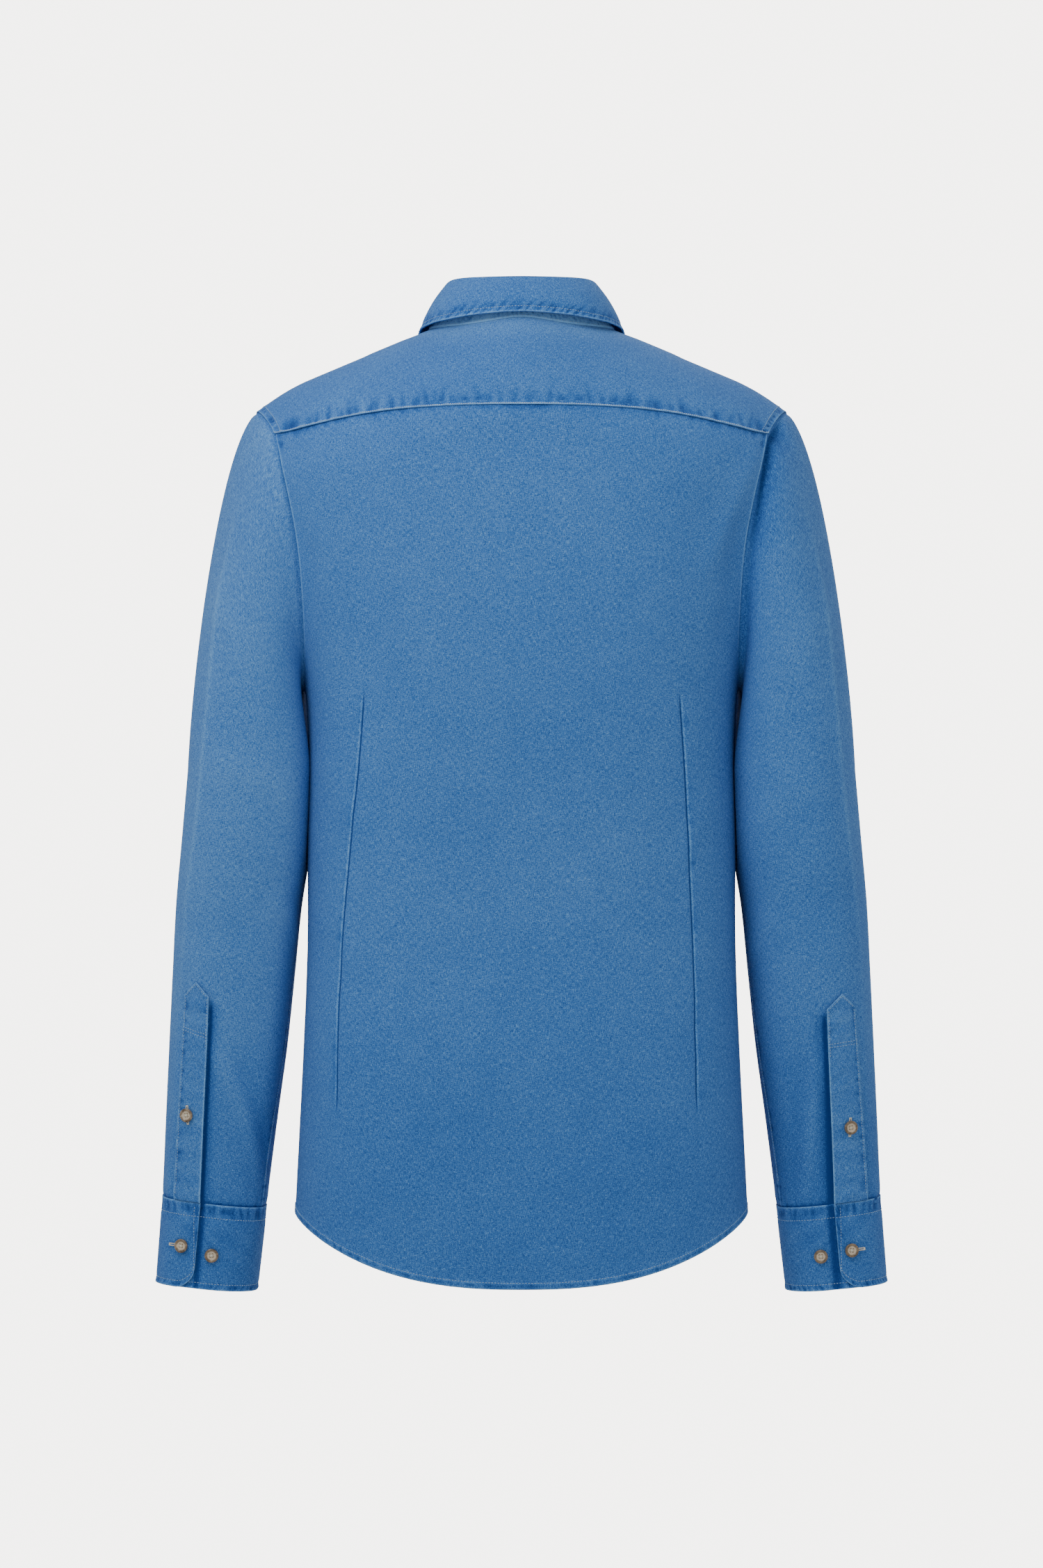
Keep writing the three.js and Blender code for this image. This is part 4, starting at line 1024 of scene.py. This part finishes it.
# Soft folds by side: start and end as turn and height, then width and height of the fold.
SLEEVE_FOLDS = {
    "left": [
        (80, -552, 146, -668, 7, 1.3), (96, -560, 162, -655, 6, -1.1),
        (20, -200, 100, -262, 14, 0.9), (60, -330, 150, -372, 13, 0.8),
        (120, -440, 172, -478, 10, 1.0), (40, -455, 110, -470, 16, -0.7),
        (30, -640, 48, -700, 6, 1.0), (-40, -260, -120, -330, 16, 1.0),
        (-60, -430, -140, -470, 12, 1.2), (-50, -452, -135, -498, 9, -1.1),
        (-100, -600, -60, -670, 10, 0.9),
    ],
    "right": [
        (88, -558, 116, -678, 6, 1.3), (104, -560, 134, -672, 9, -1.2),
        (24, -210, 104, -270, 14, 0.8), (70, -345, 150, -392, 13, 0.8),
        (118, -455, 170, -490, 11, 0.9), (30, -430, 100, -452, 16, -0.7),
        (24, -650, 40, -700, 6, 1.0), (-40, -270, -120, -340, 16, 1.0),
        (-60, -440, -140, -480, 12, 1.1), (-50, -464, -135, -506, 9, -1.1),
        (-96, -610, -60, -675, 10, 0.9),
    ],
}
# Places on each sleeve as height and turn, or as turn at the inner and outer edge of its placket.
# Beside the armhole the sleeve sinks by so many millimetres over such a length, darkened there as
# painted shade, its back corner is pressed out by so much, and it is painted so much paler all
# over and along that corner, as painted light.
SLEEVES = {
    "left": {
        "placket_z": -519, "top": (77.2, 50.7), "foot": (82, 49.1), "bar": (-548.5, -543.5),
        "tuck": (-1.2, 14), "corner": 3.4, "broad_paleness": 0.1, "painted_corner_light": 0.17, "facing": (-1, 1, 1),
        "button": (-612, 63), "cuff_button": (-714, 66), "spare": (-719, 93.1),
    },
    "right": {
        "placket_z": -528, "top": (83.7, 55.9), "foot": (88.9, 51.2), "bar": (-555.5, -554),
        "tuck": (9.0, 10), "corner": 1.0, "broad_paleness": 0.0, "painted_corner_light": 0.0, "facing": (1, 1, 1),
        "button": (-621, 70), "cuff_button": (-716.5, 77.6), "spare": (-719, 102.5),
    },
}
sleeve_denim = denim("sleeves", 7, 0.03)
SEAM_ROW_TURN, SEAM_ROW_LIFT = 3.2, 0.35
seam_z = np.arange(-660, -330, 3.0)
seam_at = inner_seam(seam_z) - SEAM_ROW_TURN
seam_up = arm_normal(seam_z, seam_at)
seam_path = sleeve_ring(seam_z, seam_at) + seam_up * SEAM_ROW_LIFT
sleeve_rows = {}
for side_name, make in SLEEVES.items():
    (in_top, _), (in_foot, out_foot), (tuck, fading) = make["top"], make["foot"], make["tuck"]
    from_top = make["placket_z"] - z
    crease = folds(across, z, np.array(SLEEVE_FOLDS[side_name]) * (DEGREE, 1, DEGREE, 1, 1, 1))
    under_band = smooth((across - DEGREE * out_foot + 8) / 6)
    under_band = under_band * smooth((DEGREE * in_top + 8 - across) / 6)
    fallen = np.clip(from_top / (make["placket_z"] - CUFF_SEAM_Z), 0, 1)
    off_band = across - DEGREE * mix(in_top, in_foot, fallen)
    beside_band = smooth((from_top - 2) / 8)
    behind = smooth((turn - 14) / 14) * smooth((168 - turn) / 40)
    behind = behind * mix(0.45, 1, smooth((110 - turn) / 60))
    sunk = smooth(from_hole / 4.5) * np.exp(-np.maximum(from_hole - 4.5, 0) / fading) * behind
    flattened = ridge(across - 108, 15) * smooth((-230 - z) / 120) * smooth((z + 640) / 60)
    corner_light_band = ridge(across - 122, 24) * smooth((-150 - z) / 80) * smooth((z + 560) / 120)
    height = (
        sleeve_height + crease - 0.5 * under_band * smooth((from_top + 8) / 10) - tuck * sunk
        + make["corner"] * flattened - 0.9 * ridge(off_band - 1.2, 3) * beside_band
    )
    # Colour of each sleeve: painted shade in the sunk part beside the armhole, painted light paling the
    # left one all over and along its back corner, a painted shadow beside the placket's free edge, and
    # colour that follows the folds a little, as painted light on ridges and painted shade in troughs.
    worn = (
        sleeve_wear_and_painted_shade + 0.07 * crease - 0.085 * tuck * sunk + make["broad_paleness"] + make["painted_corner_light"] * corner_light_band
        - (1.5 * ridge(off_band - 1.2, 1.3) + 0.3 * ridge(off_band - 3.4, 3)) * beside_band
    )
    sleeve, _ = cloth(
        f"sleeve_{side_name}_cloth", sleeve_grid, height, worn, sleeve_denim,
        closed=True, mirror=side_name == "left",
    )
    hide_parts(f"sleeve_{side_name}")
    over = ["yoke_cloth", "back_cloth"]
    sleeve_rows[side_name] = [stitch_row(seam_path * make["facing"], seam_up * make["facing"])]

# Cuffs: barrel cuffs of two plies with an interlining. Each laps over itself with one rounded
# corner, has a row of stitches inside its edge, and closes with one of its two buttons.
CUFF_CORNER, CUFF_RADIUS, CUFF_THICK = 15, 40, 1.5
CUFF_ROW, CUFF_TOP_ROW = 4.8, 10.5
LAP_TURN, LAP_END, LAP_DROP = 350, 398, 2.2
turned, drop = np.meshgrid(
    steps([0, 12, LAP_TURN, LAP_END], [0.7, 1.0, 1.4]), steps([0, 0.86, 1], [0.024, 0.014])
)
# The cuffs' denim is set darker than the rest as painted shade.
cuff_denim = denim("cuffs", 8, -0.17)
for side_name, make in SLEEVES.items():
    mirror = side_name == "left"
    cut = np.maximum(0, CUFF_CORNER - np.radians(turned) * CUFF_RADIUS)
    rise = CUFF_CORNER - np.sqrt(CUFF_CORNER**2 - cut**2)
    cuff_z = mix(CUFF_SEAM_Z, CUFF_HEM_Z + rise, drop)
    cuff_grid = sleeve_ring(cuff_z, make["foot"][0] - turned)
    middle = (sleeve_ring(cuff_z, 0) + sleeve_ring(cuff_z, 180)) / 2
    inward = unit((middle - cuff_grid) * (1, 1, 0))
    drawn_in = 0.3 * smooth(1 - drop / 0.25)
    lapped = LAP_DROP * smooth((turned - LAP_TURN) / 9)
    cuff_grid = cuff_grid + inward * (drawn_in + lapped)[..., None]
    top, bottom, left, right = from_edges(cuff_grid)
    rim = np.minimum.reduce([bottom, left, right])
    rim_blots = blots(left + 0.7 * bottom, rim - 2.2, 3.7, 81 + mirror, 1.05, 2.4)
    top_blots = blots(left, top - 5, 6.0, 83 + mirror, 1.6, 4.2) * smooth((11.5 - top) / 2)
    cuff_height = (
        0.4 * ridge(rim, 2.0) + 0.25 * ridge(top, 2.5) - 0.5 * rim_blots - 0.8 * top_blots
        - 0.35 * ridge(rim - 4.6, 0.9) - 0.25 * ridge(top - CUFF_TOP_ROW, 1.2)
        + 0.25 * ripple(left, 33, 83) * smooth(top / 20)
    )
    # Colour of the cuff: pale rubbed edges, dark puckers and a faint mottle, and a painted shadow beside
    # the overlapping end.
    cuff_wear_and_painted_shade = (
        0.95 * ridge(rim, 0.9) + 1.0 * ridge(top, 1.0) - 1.1 * rim_blots - 0.85 * top_blots
        - 1.2 * ridge((358 - turned) * 0.7, 1.6)
        + 0.15 * ridge(rim - 2.4, 2) + 0.12 * ripple(left + 0.6 * top, 21, 84) * ripple(top, 30, 85)
    )
    cuff, cuff_skin = cloth(
        f"cuff_{side_name}_cloth", cuff_grid, cuff_height, cuff_wear_and_painted_shade, cuff_denim,
        thickness=CUFF_THICK, mirror=mirror,
    )
    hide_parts(f"cuff_{side_name}")
    cuff_lines = [("bottom", CUFF_ROW), ("left", CUFF_ROW, 0.05, 0.9), ("top", CUFF_TOP_ROW)]
    sleeve_rows[side_name] += seam_rows(cuff_skin, cuff_lines, make["facing"])

# Sleeve plackets: a narrow pointed band over each sleeve's slit. Its inner edge is folded and
# free, its outer edge and its point are topstitched, with a bar of stitches below the point.
part, drop = np.meshgrid(steps([0, 1], [0.036]), steps([0, 0.08, 1], [0.008, 0.0095]))
BAR_GAP, BAND_THICK, BAND_LIFT, BAND_PEAK, BAND_ROW = 2.6, 1.1, 1.6, 11, 1.8
band_denim = denim("sleeve plackets", 9)
for side_name, make in SLEEVES.items():
    mirror = side_name == "left"
    band_turn = mix(mix(*make["top"], part), mix(*make["foot"], part), drop)
    peak_z = make["placket_z"] + BAND_PEAK * (1 - np.abs(2 * part - 1))
    band_z = mix(peak_z, CUFF_SEAM_Z + 0.4, drop)
    band_grid = sleeve_ring(band_z, band_turn) + arm_normal(band_z, band_turn) * BAND_LIFT
    top, bottom, left, right = from_edges(band_grid)
    rim = np.minimum.reduce([left, right, top])
    edge_blots = blots(band_z, right - 2.6, 6.6, 91 + mirror, 1.7, 2.8)
    free_blots = blots(band_z, left - 2.2, 8.5, 93 + mirror, 1.6, 2.2) * smooth((band_z + 590) / 40)
    band_height = (
        0.9 * ridge(left, 2.2) + 0.25 * ridge(rim, 1.8) - 0.55 * edge_blots - 0.35 * free_blots
        - 0.9 * ridge(bottom, 4) + 0.25 * ripple(top, 14, 95)
    )
    band_worn = (
        0.7 * ridge(rim, 0.9) + 0.35 * ridge(left, 0.9) - 0.75 * edge_blots - 0.6 * free_blots
        + 0.08 * ripple(band_z, 19, 97)
    )
    band, band_skin = cloth(
        f"sleeve_placket_{side_name}_cloth", band_grid, band_height, band_worn, band_denim,
        thickness=BAND_THICK, mirror=mirror,
    )
    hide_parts(f"sleeve_placket_{side_name}")
    band_lines = [
        ("right", BAND_ROW, 0.02, 0.97), ("left", BAND_ROW, 0.02, 0.26),
        ("top", BAND_ROW, 0.08, 0.92),
    ]
    rows = seam_rows(band_skin, band_lines, make["facing"])
    for gap in (0, BAR_GAP):
        bar_z = mix(*make["bar"], part[0]) - gap
        bar = (
            np.array([read_at(-at, -band_z[:, i], g[:, i]) for i, at in enumerate(bar_z)])
            for g in band_skin
        )
        rows.append(stitch_row(*(line * make["facing"] for line in bar)))
    stitching(f"sleeve_{side_name}_stitches", sleeve_rows[side_name] + rows, sewing)

# Buttons: horn-like discs with a raised rim and four holes, sewn on with pale thread. Seven close
# the front, one of them on the collar stand, and each sleeve has one on its placket and two on
# its cuff. Each lies over a slit that is worked round with close pale stitches.
BUTTON_THICK, BUTTON_RIM, HOLE_RADIUS, HOLE_PLACE = 2.6, 0.9, 0.8, 1.45
SLIT_HALF, SLIT_PITCH, SLIT_RADIUS, SEWING_RADIUS = 6.8, 0.42, 0.24, 0.4
BUTTON_LIFT, FRONT_BUTTONS = 0.35, (-128, -218, -308, -398, -488, -578)
UPRIGHT, SIDEWAYS = np.array((0.0, 0.0, 1.0)), np.array((1.0, 0, 0))
horn = Finish("brown-grey horn of the buttons", 0.32, Coat_Weight=0.2, Coat_Roughness=0.15)
place = horn.node("ShaderNodeUVMap", {"uv_map": "cloth"}, {})
swirl = horn.noise(place, 190.0, 3.0, Distortion=1.2)
rimmed = horn.node("ShaderNodeAttribute", {"attribute_name": "worn"}, {}, "Fac")
HORN_TONES = [
    (0.25, (0.07, 0.045, 0.028, 1)), (0.5, (0.27, 0.195, 0.125, 1)), (0.75, (0.62, 0.53, 0.41, 1))
]
tone = horn.node("ShaderNodeValToRGB", {"stops": HORN_TONES}, {0: swirl * 0.9 + rimmed * 0.45})
horn.paint("Base Color", tone)
button_thread = thread(
    "cream thread of the buttons and slits", 20, (0.55, 0.52, 0.40, 1), (0.95, 0.92, 0.80, 1)
)

rings = np.concatenate([[0.01], np.arange(0.35, 3.2, 0.28), [3.45, 3.8, 4.3, 4.8, 5.15, 5.35, 5.4, 5.2]])
level = BUTTON_THICK - BUTTON_RIM + BUTTON_RIM * smooth((rings - 3.1) / 0.9)
level = np.where(rings > 4.6, BUTTON_THICK - 0.5 * ((rings - 4.6) / 0.8) ** 2, level)
level[-2:] = (1.4, 0.6)
BUTTON_SIDES, HOLE_ANGLES = 48, (45, 135, 225, 315)
angle = np.linspace(0, 2 * math.pi, BUTTON_SIDES + 1)[:-1]
disc_x, disc_y = rings[:, None] * np.cos(angle), rings[:, None] * np.sin(angle)
disc_z = np.repeat(level[:, None], BUTTON_SIDES, 1)
for hole_angle in HOLE_ANGLES:
    hole_x = HOLE_PLACE * math.cos(math.radians(hole_angle))
    hole_y = HOLE_PLACE * math.sin(math.radians(hole_angle))
    away = np.hypot(disc_x - hole_x, disc_y - hole_y)
    disc_z = disc_z - 1.2 * (1 - smooth((away - HOLE_RADIUS * 0.5) / (HOLE_RADIUS * 0.6)))
disc = np.concatenate([np.stack([disc_x, disc_y, disc_z], -1).reshape(-1, 3), [[0, 0, 0.3]]])
disc_index = np.arange(len(rings) * BUTTON_SIDES).reshape(len(rings), BUTTON_SIDES)
wrapped = np.concatenate([disc_index, disc_index[:, :1]], 1)
disc_faces = quads_of(wrapped).tolist()
disc_faces += [(int(a), len(disc) - 1, int(b)) for a, b in zip(wrapped[-1, 1:], wrapped[-1, :-1])]
disc_faces.append(disc_index[0].tolist())
disc_rim = np.append(np.repeat(1 - 1.1 * smooth((rings - 2.6) / 1.4), BUTTON_SIDES), 0)


def axes_at(normal, way):
    """Two directions in the plane of a button: the second one follows the given way."""
    rise = unit(way - normal * np.dot(way, normal))
    return np.cross(rise, normal), rise


def add_button(name, seat, normal, hole_way, hole_shift=0.0):
    """A button on the cloth, its thread, and the worked slit under it along hole_way, if any."""
    sideways, rise = axes_at(normal, UPRIGHT)
    mark = sum(map(ord, name))
    spin = math.radians(mark % 23 - 11)
    sideways, rise = (
        sideways * math.cos(spin) + rise * math.sin(spin),
        rise * math.cos(spin) - sideways * math.sin(spin),
    )
    base = seat + normal * BUTTON_LIFT
    co = disc @ np.stack([sideways, rise, normal]) + base
    horn_map = disc[:, :2] + mark % 17 * 7
    piece = show(f"{name}_horn", co, disc_faces, horn_map, disc_rim, horn.material)
    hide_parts(name)
    top_of = base + normal * (BUTTON_THICK - BUTTON_RIM + 0.1)
    hole_at = {
        a: top_of + HOLE_PLACE * (sideways * math.cos(math.radians(a)) + rise * math.sin(math.radians(a)))
        for a in HOLE_ANGLES
    }
    start, end = np.array([hole_at[45], hole_at[135]]), np.array([hole_at[225], hole_at[315]])
    rows = [
        threads(start + shift, end + shift, normal, SEWING_RADIUS)
        for shift in (sideways * 0.3, sideways * -0.3)
    ]
    if hole_shift is not None:
        across_way, way = axes_at(normal, hole_way)
        along = np.arange(-SLIT_HALF, SLIT_HALF + 0.01, SLIT_PITCH)[:, None]
        middle = seat + way * (along + hole_shift)
        for out in (-across_way, across_way):
            rows.append(threads(middle + out * 0.25, middle + out * 1.25, normal, SLIT_RADIUS))
        for tip in (-SLIT_HALF - 0.2, SLIT_HALF + 0.2):
            bar = seat + way * (tip + hole_shift) + way * np.array([[-0.4], [0], [0.4]])
            reach = across_way * 1.2
            rows.append(threads(bar - reach, bar + reach, normal, SLIT_RADIUS))
    stitching(f"{name}_thread", rows, button_thread)


def forward_normal(rise):
    """Normal of the front's middle, where the cloth rises in a given way."""
    normal = unit(np.cross(SIDEWAYS, rise))
    return normal if normal[1] > 0 else -normal


for count, z_at in enumerate(FRONT_BUTTONS):
    normal = forward_normal(front_point(0.0, z_at + 1.0) - front_point(0.0, z_at - 1.0))
    seat = front_point(0.0, float(z_at)) + normal * 1.6
    add_button(f"button_front_{count + 1}", seat, normal, UPRIGHT)

low, high = neck_seam(np.float64(-90)), stand_top(np.float64(-90))
normal = forward_normal(high - low)
add_button("button_collar", (low + high) / 2 + normal * 0.4, normal, SIDEWAYS, 1.5)

# Place, lift off the arm, and way and shift of the slit; the spare button of a cuff has no slit.
for side_name, make in SLEEVES.items():
    for label, (z_at, turn_at_button), lift, upright_slit, hole_shift in (
        (f"button_sleeve_{side_name}", make["button"], 1.9, True, 0.0),
        (f"button_cuff_{side_name}", make["cuff_button"], 0.2, False, 3.5),
        (f"button_cuff_{side_name}_spare", make["spare"], 0.1, False, None),
    ):
        normal = arm_normal(float(z_at), float(turn_at_button))
        place = sleeve_ring(float(z_at), float(turn_at_button))
        way = UPRIGHT if upright_slit else unit(sleeve_ring(z_at, turn_at_button - 4) - place)
        add_button(
            label, (place + normal * lift) * make["facing"], normal * make["facing"],
            way * make["facing"], hole_shift,
        )
